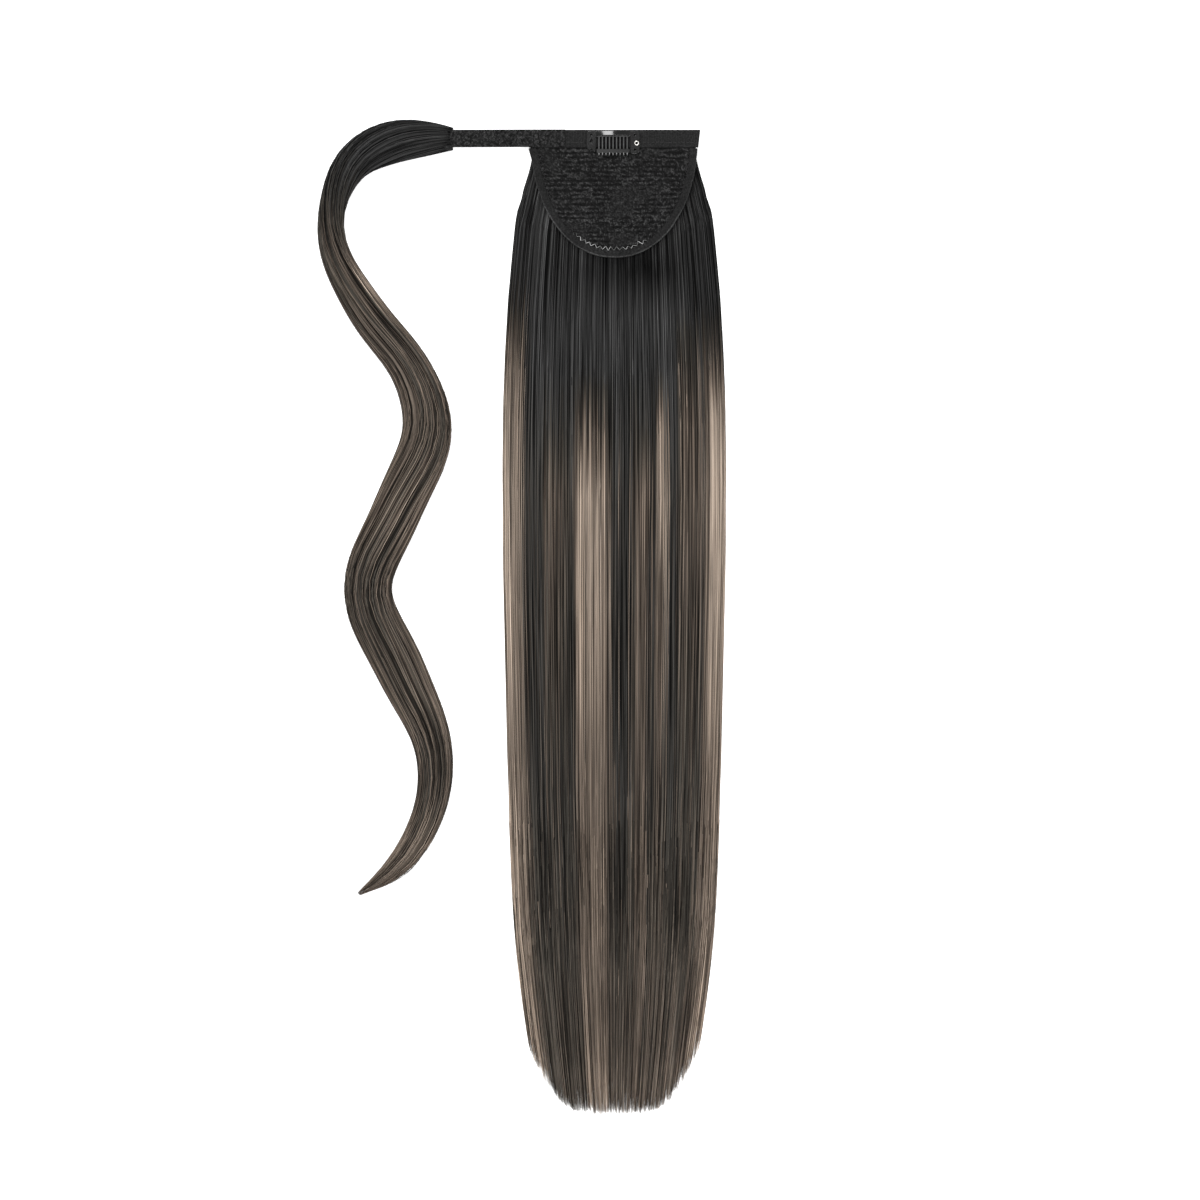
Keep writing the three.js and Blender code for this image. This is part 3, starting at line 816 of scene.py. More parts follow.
def wrap_strands(name, seed, count, route, material):
    rng = np.random.default_rng(seed)
    each = (count, 1)
    shared = np.random.default_rng(WRAP_LOCKLET_SEED)
    lock_value = alternating(shared, WRAP_LOCKLETS)
    lock_sink = shared.gamma(*WRAP_LOCKLET_SINK, WRAP_LOCKLETS)

    spread = WRAP_BUNDLES["half"]
    bundle = rng.choice(len(spread), each, p=spread / spread.sum())
    middle, half, proud, tone, tuck = (values[bundle] for values in WRAP_BUNDLES.values())
    share = rng.uniform(-1, 1, each)
    place = middle + half * share
    seat = (place % 360) / 360 * WRAP_LOCKLETS + rng.normal(0, 0.3, each)
    locklet = seat.astype(int) % WRAP_LOCKLETS
    start = rng.uniform(*WRAP_STARTS, each)
    end = route.length - np.minimum(rng.exponential(WRAP_RAGGED, each), WRAP_RAGGED_MOST)
    along = start + (end - start) * WRAP_SHARES
    wave = along * rng.uniform(*WRAP_WAVES, each) + rng.uniform(0, FULL_TURN, each)
    strays = rng.random(each) < WRAP_STRAYS
    drift = np.where(strays, rng.normal(0, STRAY_DRIFT, each), rng.normal(0, WRAP_DRIFT, each))
    angle = place + rng.normal(0, WRAP_WANDER, each) * np.sin(wave) + drift * WRAP_SHARES
    turned = np.radians(angle + looked_up(WRAP_TWIST, "turn", along))
    at_seam = np.abs(share) ** SEAM_POWER
    own_sink = rng.gamma(*WRAP_STRAND_SINK, each)
    reach = proud * (1 - SEAM_DENT * at_seam) - lock_sink[locklet] - own_sink
    tucked = np.where(strays, 0, tuck) * fade_out(*WRAP_TUCK_ENDS, along)
    reach = np.where(strays, 1.0, reach) - tucked
    dented = 1 - (1 - reach) * smooth_step(0, RIM_BLEND, np.sin(turned))
    radius = np.where(strays, rng.uniform(*STRAY_RADII, each), rng.uniform(*WRAP_RADII, each))
    paths = relaxed(route.points(along, turned, dented, radius, radius))

    # Painted shade at the seams between bundles, on both the shade and the dye
    seam_shade = 1 - SEAM_PAINTED_SHADE * at_seam
    own_shade = rng.normal(0, WRAP_SHADE_SPREAD, each)
    shade = np.exp(WRAP_LOCKLET_SHADE * lock_value[locklet] + own_shade) * seam_shade
    shade = np.where(strays, rng.uniform(*STRAY_SHADES, each), shade)
    shade = np.clip(shade, *WRAP_SHADE_ENDS)
    tone = tone * np.clip(1 + WRAP_LOCKLET_DYE * lock_value[locklet], *WRAP_DYE_ENDS)
    tone = np.where(strays, rng.uniform(*STRAY_TONES, each), tone * seam_shade)
    # Painted highlights along the glints
    painted_glint = wrap_painted_glint(rng, along, place)
    # Painted shade on the lock's sides and underneath
    side_shade = WRAP_SIDES_PAINTED_SHADE + (1 - WRAP_SIDES_PAINTED_SHADE) * np.clip(np.sin(turned), 0, 1)
    light = np.maximum(wrap_light(rng, along, tone, route.length) * side_shade, painted_glint)
    at_root = fade_out(*WRAP_ROOT_FADES, along)
    # Painted shade on strands tucked under their neighbours, and a darker root
    tuck_shade_and_dark_root = 1 - TUCK_PAINTED_SHADE * tucked - WRAP_ROOT_DARK * at_root
    shade = shade ** (1 + WRAP_ROOT_CONTRAST * at_root) * tuck_shade_and_dark_root * (1 + GLINT_GAIN * painted_glint)
    values = hair_values(light, shade, angle / 360 * WRAP_GIRTH, along)
    turns = rng.uniform(0, FULL_TURN, each)
    strand_piece(name, paths, radius * tapered(end - along) * MM, values, turns, material)


def wrap_light(rng, along, tone, length):
    later = rng.normal(0, WRAP_DYE_RAGGED, tone.shape)
    melted = smooth_step(*WRAP_MELTS, along - later)
    lightens, lightest = WRAP_TIP_LIGHTENS
    tip = 1 + WRAP_TIP_LIFT * smooth_step(length - lightens, length - lightest, along)
    shown = looked_up(WRAP_TONES, "shown", along)
    taken = tone * rng.uniform(*WRAP_STRAND_DYE, tone.shape)
    return np.clip(taken * melted * tip * shown, 0, 1)


def wrap_painted_glint(rng, along, place):
    """How much painted highlight from the glints each strand shows."""
    shown = np.zeros_like(along)
    for middle, half, start, full, end, light in zip(*WRAP_GLINTS.values()):
        strength = light * rng.uniform(0.3, 1, place.shape) * (np.abs(place - middle) < half)
        lit = strength * smooth_step(start, full, along) * fade_out(full, end, along)
        shown = np.maximum(shown, lit)
    return shown


WRAP_CORE_ROWS = 90
WRAP_CORE_SIDES = 24
WRAP_CORE_REACH = 0.6
WRAP_CORE_START = 0.5
WRAP_CORE_SHORTER = 30.0
WRAP_CORE_LOWEST = 0.2
WRAP_CORE_LIGHT = 0.3


def wrap_core(route, material):
    along = np.linspace(WRAP_CORE_START, route.length - WRAP_CORE_SHORTER, WRAP_CORE_ROWS)[:, None]
    angle = -np.linspace(0, FULL_TURN, WRAP_CORE_SIDES, endpoint=False)[None]
    points = route.points(along, angle, WRAP_CORE_REACH, 0, WRAP_CORE_LOWEST)
    light = WRAP_CORE_LIGHT * smooth_step(*WRAP_MELTS, along)
    values = hair_values(light, CORE_PAINTED_SHADE, angle / FULL_TURN * WRAP_GIRTH, along)
    triangles = loft_triangles(WRAP_CORE_ROWS, WRAP_CORE_SIDES)
    piece = mesh_piece("wrap_lock_core", points, triangles, material, "hairpiece", values)
    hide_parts("wrap_lock_hair")


hair = hair_material()
tress_core(hair)
dyed = {"locks": Locks(7), "material": hair}
long_hair = {"starts": (3, 14), "radii": (0.2, 0.4), "shares": RING_SHARES}
fine_ends = {"starts": (400, 480), "radii": (0.1, 0.22), "shares": END_RING_SHARES}
tress_strands("tress_strands_1", 1, 2300, ragged=9, **dyed, **long_hair)
tress_strands("tress_strands_2", 2, 2300, ragged=9, **dyed, **long_hair)
tress_strands("tress_strands_under", 3, 800, ragged=8, under=True, **dyed, **long_hair)
tress_strands("tress_ends", 6, 4800, ragged=7, **dyed, **fine_ends)
wrap_route = WrapRoute()
wrap_core(wrap_route, hair)
wrap_strands("wrap_lock_strands_1", 4, 530, wrap_route, hair)
wrap_strands("wrap_lock_strands_2", 5, 530, wrap_route, hair)


# Cloth, placed on the pad: x from the tress's axis, down along the pad, high above its upper face

PAD_SEAT = 8.5  # height of the pad's upper face at the band's top edge
PAD_RISE = 5.0  # how much higher the pad's lower end lies
PAD_INSET = 1.1  # from the hem's outer edge to the pad's own
PAD_THICK = 2.0
PAD_SLOPE = math.asin(PAD_RISE / PAD_DEPTH)
PAD_SHOULDER = 1.5  # how far the pad's left shoulder sticks out
SHOULDER_ENDS = (9, 20)  # distances down
SHOULDER_GROWS = (36, 48)  # distances left of the axis


def tilted(angle, down, high):
    """Places on a slope, as distances along the level and up."""
    lying = down * math.cos(angle) - high * math.sin(angle)
    standing = down * math.sin(angle) + high * math.cos(angle)
    return lying, standing


def on_pad(x, down, high):
    """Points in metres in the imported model's frame, from millimetres on the pad."""
    lying, standing = tilted(PAD_SLOPE, down, high)
    return in_frame(x, lying, PAD_SEAT + standing)


def slab_piece(name, x, down, top, under, relief, material):
    """A thin closed slab: a grid of points over its upper face, and a plain underside."""
    rows, columns = top.shape
    under = np.broadcast_to(under, (rows, 1))
    high = np.concatenate([under, top, under], axis=1)
    both_sides = ((0, 0), (1, 1))
    ring = on_pad(np.pad(x, both_sides, "edge"), np.pad(down, both_sides, "edge"), high)
    triangles = outward(ring, loft_triangles(rows, columns + 2))
    values = {"relief": np.pad(relief, both_sides)}
    return mesh_piece(name, ring, triangles, material, "hairpiece", values)


SPECKS = (0.3, 0.7)  # range of the noise that shows as specks and smears
NAP_DEPTH = 0.0002
NAP_GLOSS = 0.08
CLOTH_GLOSS = {"Specular IOR Level": 0.14, "Sheen Weight": 0.03, "Sheen Roughness": 0.5}


def cloth_material(name, tones, speck, contrast, roughness, bump):
    """Cloth whose colour follows the relief of its threads, with specks and a fine nap of its own. The
    darker hollows and lighter ridges are painted shade and light on top of the cloth's own pattern.

    Tones are the greys in its hollows, half way up and on its ridges, as they show on screen.
    """
    material, tree, shader = new_material(name)
    place = node(tree, "TexCoord").outputs["Object"]
    stops = [(0.5 * step, linear(tone, tone, tone)) for step, tone in enumerate(tones)]
    dyed = ramp(tree, point_value(tree, "relief"), stops)
    strength = ranged(tree, noise(tree, place, speck, 4.0), SPECKS, give_or_take(1, contrast))
    nap = noise(tree, place, 2.4 * speck, 3.0)
    rough = ranged(tree, nap, (0, 1), give_or_take(roughness, NAP_GLOSS))
    bumps = {"Height": nap, "Strength": bump, "Distance": NAP_DEPTH}
    dents = node(tree, "Bump", bumps).outputs["Normal"]
    tinted = scaled(tree, dyed, strength)
    wire(shader, {"Base Color": tinted, "Roughness": rough, "Normal": dents, **CLOTH_GLOSS})
    return material


# Knitted pad
PAD_ROWS = 180
PAD_COLUMNS = 168
RIB_PITCH = 2.7
LOOP_PITCH = 1.15
KNIT_RELIEF = 0.55
KNIT_TONES = {"rib": 0.64, "grain": 0.36, "groove": 0.46, "tick": 0.26}
WORN_TONES = {"rib": 0.55, "grain": 0.18}
KNIT_WANDER = 0.2  # shares of a rib, and of a loop, that the knit runs out of true by
LOOP_WANDER = 0.7
HEM_WIDTH = 4.4
BAND_WIDTH = 10.4


def pad_half_width(down, inset):
    share = np.clip((down - PAD_TOP) / (PAD_DEPTH - inset - PAD_TOP), 0, 1)
    rounded = (1 - share**PAD_ROUNDNESS) ** (1 / PAD_ROUNDNESS)
    return np.maximum((PAD_HALF_WIDTH - inset) * rounded, 0.4)


def shouldered(x, down):
    """Places across the pad, moved out at its left shoulder."""
    return x - PAD_SHOULDER * fade_out(*SHOULDER_ENDS, down) * smooth_step(*SHOULDER_GROWS, -x)


def knit_relief(x, down):
    """Height of the ribbed knit, from about 0 in its grooves to about 1 on its ribs."""
    phase = down / RIB_PITCH + KNIT_WANDER * soft_noise(31, x / 12, down / 4)
    course = np.floor(phase)
    groove = (0.5 + 0.5 * np.cos(FULL_TURN * phase)) ** 2
    whole = smooth_step(-0.8, 0.2, soft_noise(32, x / 2.6, 7.3 * np.round(phase)))
    stagger = 0.5 * course + LOOP_WANDER * soft_noise(33, x / 3, 3.7 * course)
    ticks = (0.5 + 0.5 * np.cos(FULL_TURN * (x / LOOP_PITCH + stagger))) ** 2
    seen = smooth_step(-0.7, 0.4, soft_noise(36, x / 2.4, 5.1 * course))
    wear_and_sheen = smooth_step(0.4, 0.65, soft_noise(34, x / 9, down / 7))
    grain = soft_noise(35, x / 0.7, down / 0.6)
    ribbed = KNIT_TONES["rib"] + KNIT_TONES["grain"] * grain
    ribbed = ribbed - KNIT_TONES["groove"] * groove * whole
    ribbed = ribbed - KNIT_TONES["tick"] * ticks * seen * (1 - groove)
    smooth = WORN_TONES["rib"] + WORN_TONES["grain"] * grain
    return np.clip(ribbed * (1 - wear_and_sheen) + smooth * wear_and_sheen, 0, 1)


def knit_pad(material):
    climb = 1 - (1 - np.linspace(0, 1, PAD_ROWS)) ** 1.35
    down = (PAD_TOP + (PAD_DEPTH - PAD_INSET - PAD_TOP) * climb)[:, None]
    x = pad_half_width(down, PAD_INSET) * np.linspace(-1, 1, PAD_COLUMNS)[None]
    down = np.broadcast_to(down, x.shape)
    # The relief also colours the knit: darker grooves are painted shade, on top of its own pattern
    relief = knit_relief(x, down)
    uncovered = smooth_step(HEM_WIDTH - 1, HEM_WIDTH + 0.4, rim_distance(x, down))
    uncovered = uncovered * smooth_step(BAND_WIDTH - 0.4, BAND_WIDTH + 0.8, down)
    top = KNIT_RELIEF * relief * uncovered
    piece = slab_piece("knit_pad", shouldered(x, down), down, top, -PAD_THICK, relief, material)
    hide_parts("backing_pad")
    return piece


# Folded hem round the pad's curve: its section, out from the pad's outer edge and up from its face
HEM_TOP = 10.8
HEM_STEPS = 260
HEM_PUCKER = 2.3
HEM_PUCKER_RISE = 0.14
HEM_PUCKERED = (56, 70)  # distances down the pad that the puckers grow over
HEM_LIT = (15, 60)  # and the painted highlight along the fold
HEM_TONES = {"cloth": 0.34, "pucker": 0.24, "swell": 0.1, "fold": 0.5}
HEM_SWELL = 0.1
HEM_WAVER = 0.16
RIM_SAMPLES = 4000
HEM_SECTION = table(
    "out high",
    (-4.4, 0.75),
    (-4.0, 1.0),
    (-2.6, 1.1),
    (-1.1, 0.98),
    (-0.35, 0.6),
    (0.0, -0.3),
    (0.0, -1.7),
    (-0.35, -2.6),
    (-1.1, -3.0),
    (-4.3, -3.1),
    (-4.3, -2.4),
    (-1.3, -2.3),
    (-0.9, -2.1),
    (-0.8, -1.5),
    (-0.8, -0.5),
    (-0.9, 0.1),
    (-1.3, 0.3),
    (-2.6, 0.34),
    (-4.0, 0.34),
    (-4.4, 0.38),
)


class Rim:
    """The pad's outer edge, from its left shoulder round to its right one, at even steps."""

    def __init__(self):
        turn = np.linspace(0, math.pi, RIM_SAMPLES)[1:-1]
        power = 2 / PAD_ROUNDNESS
        x = -PAD_HALF_WIDTH * np.sign(np.cos(turn)) * np.abs(np.cos(turn)) ** power
        down = PAD_TOP + (PAD_DEPTH - PAD_TOP) * np.sin(turn) ** power
        hemmed = down >= HEM_TOP
        x, down = x[hemmed], down[hemmed]
        along = running_length(x, down)
        self.length = along[-1]
        self.along = np.linspace(0, self.length, HEM_STEPS)
        self.down = np.interp(self.along, along, down)
        self.x = shouldered(np.interp(self.along, along, x), self.down)
        heading = unit(np.stack([np.gradient(self.x), np.gradient(self.down)], axis=-1))
        self.out_x = -heading[:, 1]
        self.out_down = heading[:, 0]

    def at(self, along, out):
        """Places x and down at distances along the rim and out from it."""
        names = ("x", "down", "out_x", "out_down")
        x, down, out_x, out_down = (np.interp(along, self.along, getattr(self, name)) for name in names)
        return x + out_x * out, down + out_down * out


def pad_hem(rim, material):
    along, rim_down = rim.along[:, None], rim.down[:, None]
    out, high = HEM_SECTION["out"], HEM_SECTION["high"]
    upper = smooth_step(0.5, 0.9, high)
    inner = smooth_step(-1, -HEM_WIDTH, out)
    pucker = np.sin(FULL_TURN * along / HEM_PUCKER + 2.5 * soft_noise(41, along / 6, 0.5))
    pucker = pucker * (0.12 + 0.88 * smooth_step(*HEM_PUCKERED, rim_down)) * upper * inner
    swell = soft_noise(42, along / 8, 0.5)
    lifted = high + HEM_PUCKER_RISE * pucker + HEM_SWELL * upper * swell
    waver = HEM_WAVER * soft_noise(43, along / 7, 0.5) * (1 - inner)
    spread = out + waver + HEM_PUCKER_RISE * pucker
    ring = on_pad(*rim.at(along, spread), lifted)
    at_fold = smooth_step(-0.9, -0.2, out) * smooth_step(-0.8, 0.3, high)
    fold_painted_highlight = at_fold * smooth_step(*HEM_LIT, rim_down)
    # Painted light and shade follow the puckers and the swell, and a painted highlight runs along the
    # fold
    relief = HEM_TONES["cloth"] + HEM_TONES["pucker"] * pucker + HEM_TONES["swell"] * swell
    relief = relief + HEM_TONES["fold"] * fold_painted_highlight
    values = {"relief": np.clip(relief, 0, 1)}
    triangles = outward(ring, loft_triangles(HEM_STEPS, ring.shape[1], strip_cap))
    piece = mesh_piece("hem_binding", ring, triangles, material, "hairpiece", values)
    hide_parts("pad_hem")
    return piece


# Ribbon band
BAND_RIGHT = 49.9
BAND_SLANT = 1.2  # the right end is cut in by this much at the lower edge
BAND_UNDER = 0.35
BAND_ROWS = 420
BAND_COLUMNS = 15
BAND_THICK = 1.0
BAND_CORD_PITCH = 0.95
BAND_CORD_RISE = 0.1
SELVEDGE = (0.06, 0.12)  # shares of the band's width
SELVEDGE_RISE = 0.12
BAND_WAVES = 0.06
BAND_EDGE_DROP = 0.35
BAND_TONES = {"ground": 0.3, "cord": 0.4, "selvedge": 0.3}

# Where the clip's comb lies on it
CLIP_X = -0.7
COMB_HINGE = 2.75
COMB_HALF = 9.6


def comb_painted_shade(x, down):
    """Where the ribbon is painted with the shade of the clip's comb, from 0 to 1."""
    beside = fade_out(COMB_HALF - 1, COMB_HALF, np.abs(x - CLIP_X))
    return beside * smooth_step(COMB_HINGE, COMB_HINGE + 1, down)


def ribbon_band(material):
    t, across = grid_shares(BAND_ROWS, BAND_COLUMNS)
    x = BAND_LEFT + (BAND_RIGHT - BAND_SLANT * across - BAND_LEFT) * t
    down = np.broadcast_to(BAND_WIDTH * across, x.shape)
    edge = np.minimum(across, 1 - across)
    selvedge = fade_out(*SELVEDGE, edge)
    cords = (0.5 + 0.5 * np.cos(FULL_TURN * x / BAND_CORD_PITCH)) * (1 - selvedge)
    # The raised cords and selvedges are coloured lighter, as painted light on their ridges
    relief = BAND_TONES["ground"] + BAND_TONES["cord"] * cords + BAND_TONES["selvedge"] * selvedge
    # Painted shade under the clip's comb
    relief = relief * (1 - comb_painted_shade(x, down))
    top = BAND_THICK + BAND_CORD_RISE * cords + SELVEDGE_RISE * selvedge
    top = top + BAND_WAVES * soft_noise(51, x / 9, down / 5)
    top = top - BAND_EDGE_DROP * fade_out(0, 0.04, edge)
    piece = slab_piece("ribbon_band", x, down, top, BAND_UNDER, relief, material)
    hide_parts("top_band")
    return piece


# Strap of loop pile tape, which dips from the band towards the free lock's root
STRAP_LEFT = -94.3
STRAP_RIGHT = -28.7
STRAP_END_BULGE = 1.6
STRAP_WIDTH = 10.2
STRAP_SEAT = 1.6
STRAP_DIP = 3.6
STRAP_DIP_FROM = -50.0
STRAP_GROUND = 0.7
STRAP_TUFTS = 0.25
STRAP_EDGE_DROP = 0.3
STRAP_GROUND_SHADE = 0.6
STRAP_ROWS = 190
STRAP_COLUMNS = 21
PILE_LOOPS = 1500
PILE_RINGS = 5
PILE_THREAD = 0.1
PILE_ALONG = (0.005, 0.995)  # shares of the strap's length and width
PILE_ACROSS = (0.03, 0.97)
PILE_HALF_SPANS = (0.2, 0.4)
PILE_HEIGHTS = (0.25, 0.55)
PILE_SHADES = (0.5, 1.1)


def strap_under(x):
    return STRAP_SEAT - STRAP_DIP * smooth_step(STRAP_DIP_FROM, STRAP_LEFT, x)


def strap_places(t, across):
    """Places x and down on the strap, from shares of its length and width. The strap is laid up the pad
    as it dips, so that it runs straight on from the band seen from above.
    """
    left = STRAP_LEFT + 0.5 - STRAP_END_BULGE * (1 - (2 * across - 1) ** 2)
    x = left + (STRAP_RIGHT - left) * t
    return x, STRAP_WIDTH * across - (STRAP_SEAT - strap_under(x)) * math.sin(PAD_SLOPE)


def pile_relief(x, down):
    """Tufts of the pile, from 0 between them to 1 on them."""
    tufts = 0.5 + 0.5 * soft_noise(61, x / 0.7, down / 0.7)
    patches = 0.5 + 0.5 * soft_noise(63, x / 1.9, down / 1.7)
    return smooth_step(0.15, 0.85, 0.9 * tufts + 0.1 * patches)


def pile_strap(material):
    t, across = grid_shares(STRAP_ROWS, STRAP_COLUMNS)
    x, down = strap_places(t, across)
    relief = pile_relief(x, down)
    edge = np.minimum(across, 1 - across)
    top = strap_under(x) + STRAP_GROUND + STRAP_TUFTS * relief - STRAP_EDGE_DROP * fade_out(0, 0.05, edge)
    under = strap_under(x[:, :1])
    shade = STRAP_GROUND_SHADE * relief
    piece = slab_piece("strap_tape", x, down, top, under, shade, material)
    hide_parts("wrap_strap")
    return piece


def strap_pile(material):
    """Small upright loops of thread, strewn over the strap."""
    rng = np.random.default_rng(62)
    each = (PILE_LOOPS, 1)
    across = rng.uniform(*PILE_ACROSS, each)
    x, down = strap_places(rng.uniform(*PILE_ALONG, each), across)
    turn = rng.uniform(0, FULL_TURN, each)
    half_span = rng.uniform(*PILE_HALF_SPANS, each)
    tall = rng.uniform(*PILE_HEIGHTS, each)
    arc = np.linspace(0, math.pi, PILE_RINGS)
    aside = half_span * np.cos(arc)
    high = strap_under(x) + STRAP_GROUND + tall * np.sin(arc)
    paths = on_pad(x + aside * np.cos(turn), down + aside * np.sin(turn), high)
    radii = np.full(high.shape, PILE_THREAD * MM)
    relief = pile_relief(x, down) * rng.uniform(*PILE_SHADES, each)
    values = {"relief": np.clip(relief, 0, 1)}
    return strand_piece("strap_pile", paths, radii, values, turn, material)


# Sewing thread
STITCH_RINGS = 6
STITCH_RADIUS = 0.15
STITCH_DIP = 0.4  # how deep a stitch's ends are in the cloth
STITCH_SIZES = (0.85, 1.15)
ZIGZAG_PITCH = 1.9
ZIGZAG_ENDS = 2.5  # how far it keeps from the hem's two ends
ZIGZAG_INNER = -6.1  # out from the pad's outer edge, on the knit, and up from its face
ZIGZAG_INNER_HIGH = 0.65
ZIGZAG_OUTER = -4.3  # and on the hem
ZIGZAG_OUTER_HIGH = 1.25
STITCH_PAINTED_GLOSS = (-23.0, 18.5)  # stretch of x where the stitches along the pad's bottom are painted pale, as painted gloss
BAND_STITCH_DOWN = 7.4
BAND_STITCH_HIGH = 1.22
BAND_STITCH = {"pitch": 2.5, "length": 1.9}
BAND_STITCH_RUNS = ((-27.5, -17.5), (16.5, 48.0))  # stretches of x
STRAP_STITCH_PLACES = (-47.4, -29.6)
STRAP_STITCH_HIGH = 2.6
STRAP_STITCH = {"pitch": 1.7, "length": 1.2}
DARK_THREAD = 0.16


def stitches(name, starts, ends, pale, material):
    """Threads between two rows of places (x, down, high), as low arches with their ends in the cloth."""
    rng = np.random.default_rng(71)
    each = (len(starts), 1)
    share = np.linspace(0, 1, STITCH_RINGS)
    x, down, high = starts.T[..., None] + (ends - starts).T[..., None] * share
    high = high - STITCH_DIP * (2 * share - 1) ** 6
    radii = STITCH_RADIUS * MM * rng.uniform(*STITCH_SIZES, each) * np.ones(STITCH_RINGS)
    turns = rng.uniform(0, FULL_TURN, each)
    values = {"relief": pale[:, None]}
    return strand_piece(name, on_pad(x, down, high), radii, values, turns, material)


def hem_stitches(rim, material):
    rng = np.random.default_rng(72)
    along = np.arange(ZIGZAG_ENDS, rim.length - ZIGZAG_ENDS, ZIGZAG_PITCH)
    along = along + rng.normal(0, 0.2, len(along))
    on_hem = np.arange(len(along)) % 2 == 1
    out = np.where(on_hem, ZIGZAG_OUTER, ZIGZAG_INNER) + rng.normal(0, 0.25, len(along))
    x, down = rim.at(along, out)
    high = np.where(on_hem, ZIGZAG_OUTER_HIGH, ZIGZAG_INNER_HIGH)
    places = np.stack([x, down, high], axis=-1)
    middle = (x[1:] + x[:-1]) / 2
    # Painted gloss on the stitches along the pad's bottom
    painted_gloss = (middle > STITCH_PAINTED_GLOSS[0]) & (middle < STITCH_PAINTED_GLOSS[1]) & (down[1:] > PAD_DEPTH / 2)
    pale = np.where(painted_gloss, rng.uniform(0.5, 1, len(middle)), rng.uniform(0, 0.12, len(middle)))
    return stitches("hem_stitches", places[:-1], places[1:], pale, material)


def run_of_stitches(first, last, pitch, length):
    """Starts and ends of stitches along a straight line between two places."""
    first, last = np.array(first), np.array(last)
    reach = np.linalg.norm(last - first)
    heading = (last - first) / reach
    along = np.arange(0, reach - length, pitch)[:, None]
    return np.stack([first + heading * along, first + heading * (along + length)])


def band_stitches(material):
    runs = []
    for start, end in BAND_STITCH_RUNS:
        line = [(x, BAND_STITCH_DOWN, BAND_STITCH_HIGH) for x in (start, end)]
        runs.append(run_of_stitches(*line, **BAND_STITCH))
    for x in STRAP_STITCH_PLACES:
        line = [(x, down, STRAP_STITCH_HIGH) for down in (0.7, STRAP_WIDTH - 0.5)]
        runs.append(run_of_stitches(*line, **STRAP_STITCH))
    starts, ends = np.concatenate(runs, axis=1)
    dark = np.full(len(starts), DARK_THREAD)
    return stitches("band_stitches", starts, ends, dark, material)


# End of the free lock's weft, which shows below the strap's left end
WEFT_TAB = {"left": -99.0, "right": -93.5, "top": 8.6, "foot": 11.3, "under": -3.4, "high": -2.1}
WEFT_ROWS = 12
WEFT_COLUMNS = 8


def weft_tab(material):
    t, across = grid_shares(WEFT_ROWS, WEFT_COLUMNS)
    x = WEFT_TAB["left"] + (WEFT_TAB["right"] - WEFT_TAB["left"]) * t + 0 * across
    down = WEFT_TAB["top"] + (WEFT_TAB["foot"] - WEFT_TAB["top"]) * across + 0.3 * t
    edge = np.minimum(np.minimum(across, 1 - across), np.minimum(t, 1 - t))
    top = WEFT_TAB["high"] - 0.5 * fade_out(0, 0.15, edge) + 0.1 * soft_noise(81, x, down)
    relief = 0.4 + 0.3 * soft_noise(82, x / 0.7, down / 0.7)
    return slab_piece("weft_tab", x, down, top, WEFT_TAB["under"], relief, material)


knit = cloth_material("ribbed_knit", (0, 18, 60), 1500, 0.95, 0.95, 0.5)
binding = cloth_material("hem_fabric", (4, 30, 84), 1300, 0.9, 0.85, 0.4)
ribbon = cloth_material("ribbon_weave", (3, 21, 42), 1300, 1.0, 0.75, 0.3)
pile = cloth_material("loop_pile", (12, 38, 78), 1900, 0.85, 0.95, 0.4)
thread = cloth_material("sewing_thread", (20, 90, 200), 2000, 0.2, 0.6, 0.3)

rim = Rim()
pad = knit_pad(knit)
hem = pad_hem(rim, binding)
hem_thread = hem_stitches(rim, thread)
band = ribbon_band(ribbon)
strap = pile_strap(pile)
loops = strap_pile(pile)
band_thread = band_stitches(thread)
tab = weft_tab(binding)


# Snap comb clip, on the band: x from its middle, down from its top edge, high above its seat

CLIP_TOP = 0.8
CLIP_SEAT = 1.6
CLIP_SHEET = 0.7
CLIP_EDGE = 0.22  # rounding of the sheet's cut edges
CLIP_HALF = 15.5
LOBE_INNER = 9.9
LOBE_MIDDLE = 12.7
LOBE_LIFT = 0.55  # the bar stands this far up, and the lobes slope down from it
LOBE_SLOPE = 0.12
BAR_WIDTH = 2.75
BAR_BOW = 1.8
EYELET_X = 13.7
EYELET_DOWN = 7.2
EYELET_HOLE = 1.15
SEWING_HOLE = 0.6
SEWING_HOLES_DOWN = (2.3, 10.9)
DROP_HOLE = {"down": 6.1, "radius": 0.75, "point": 0.9}
CORNER_STEPS = 6
HOLE_SIDES = 20
OUTLINE_STEP = 0.8
LEVEL_SLACK = 0.01
CREASE = math.radians(10)  # flat faces that meet at more than this are shaded apart


def on_clip(x, down, high):
    return on_pad(CLIP_X + x, CLIP_TOP + down, CLIP_SEAT + high)


def rounded_outline(corners):
    """Points round a polygon whose corners are eased; a corner is x, down and how far it is cut back."""
    places = np.array([corner[:2] for corner in corners], float)
    t = np.linspace(0, 1, CORNER_STEPS)[:, None]
    points = []
    for index, place in enumerate(places):
        cut = corners[index][2]
        start = place + cut * unit(places[index - 1] - place)
        end = place + cut * unit(places[(index + 1) % len(places)] - place)
        points.append((1 - t) ** 2 * start + 2 * t * (1 - t) * place + t**2 * end)
    return divided(np.concatenate(points))


def divided(points):
    """An outline with more points along its long straight stretches."""
    following = np.roll(points, -1, axis=0)
    stretches = []
    for start, end in zip(points, following):
        count = max(1, math.ceil(np.linalg.norm(end - start) / OUTLINE_STEP))
        share = np.arange(count)[:, None] / count
        stretches.append(start + (end - start) * share)
    return np.concatenate(stretches)


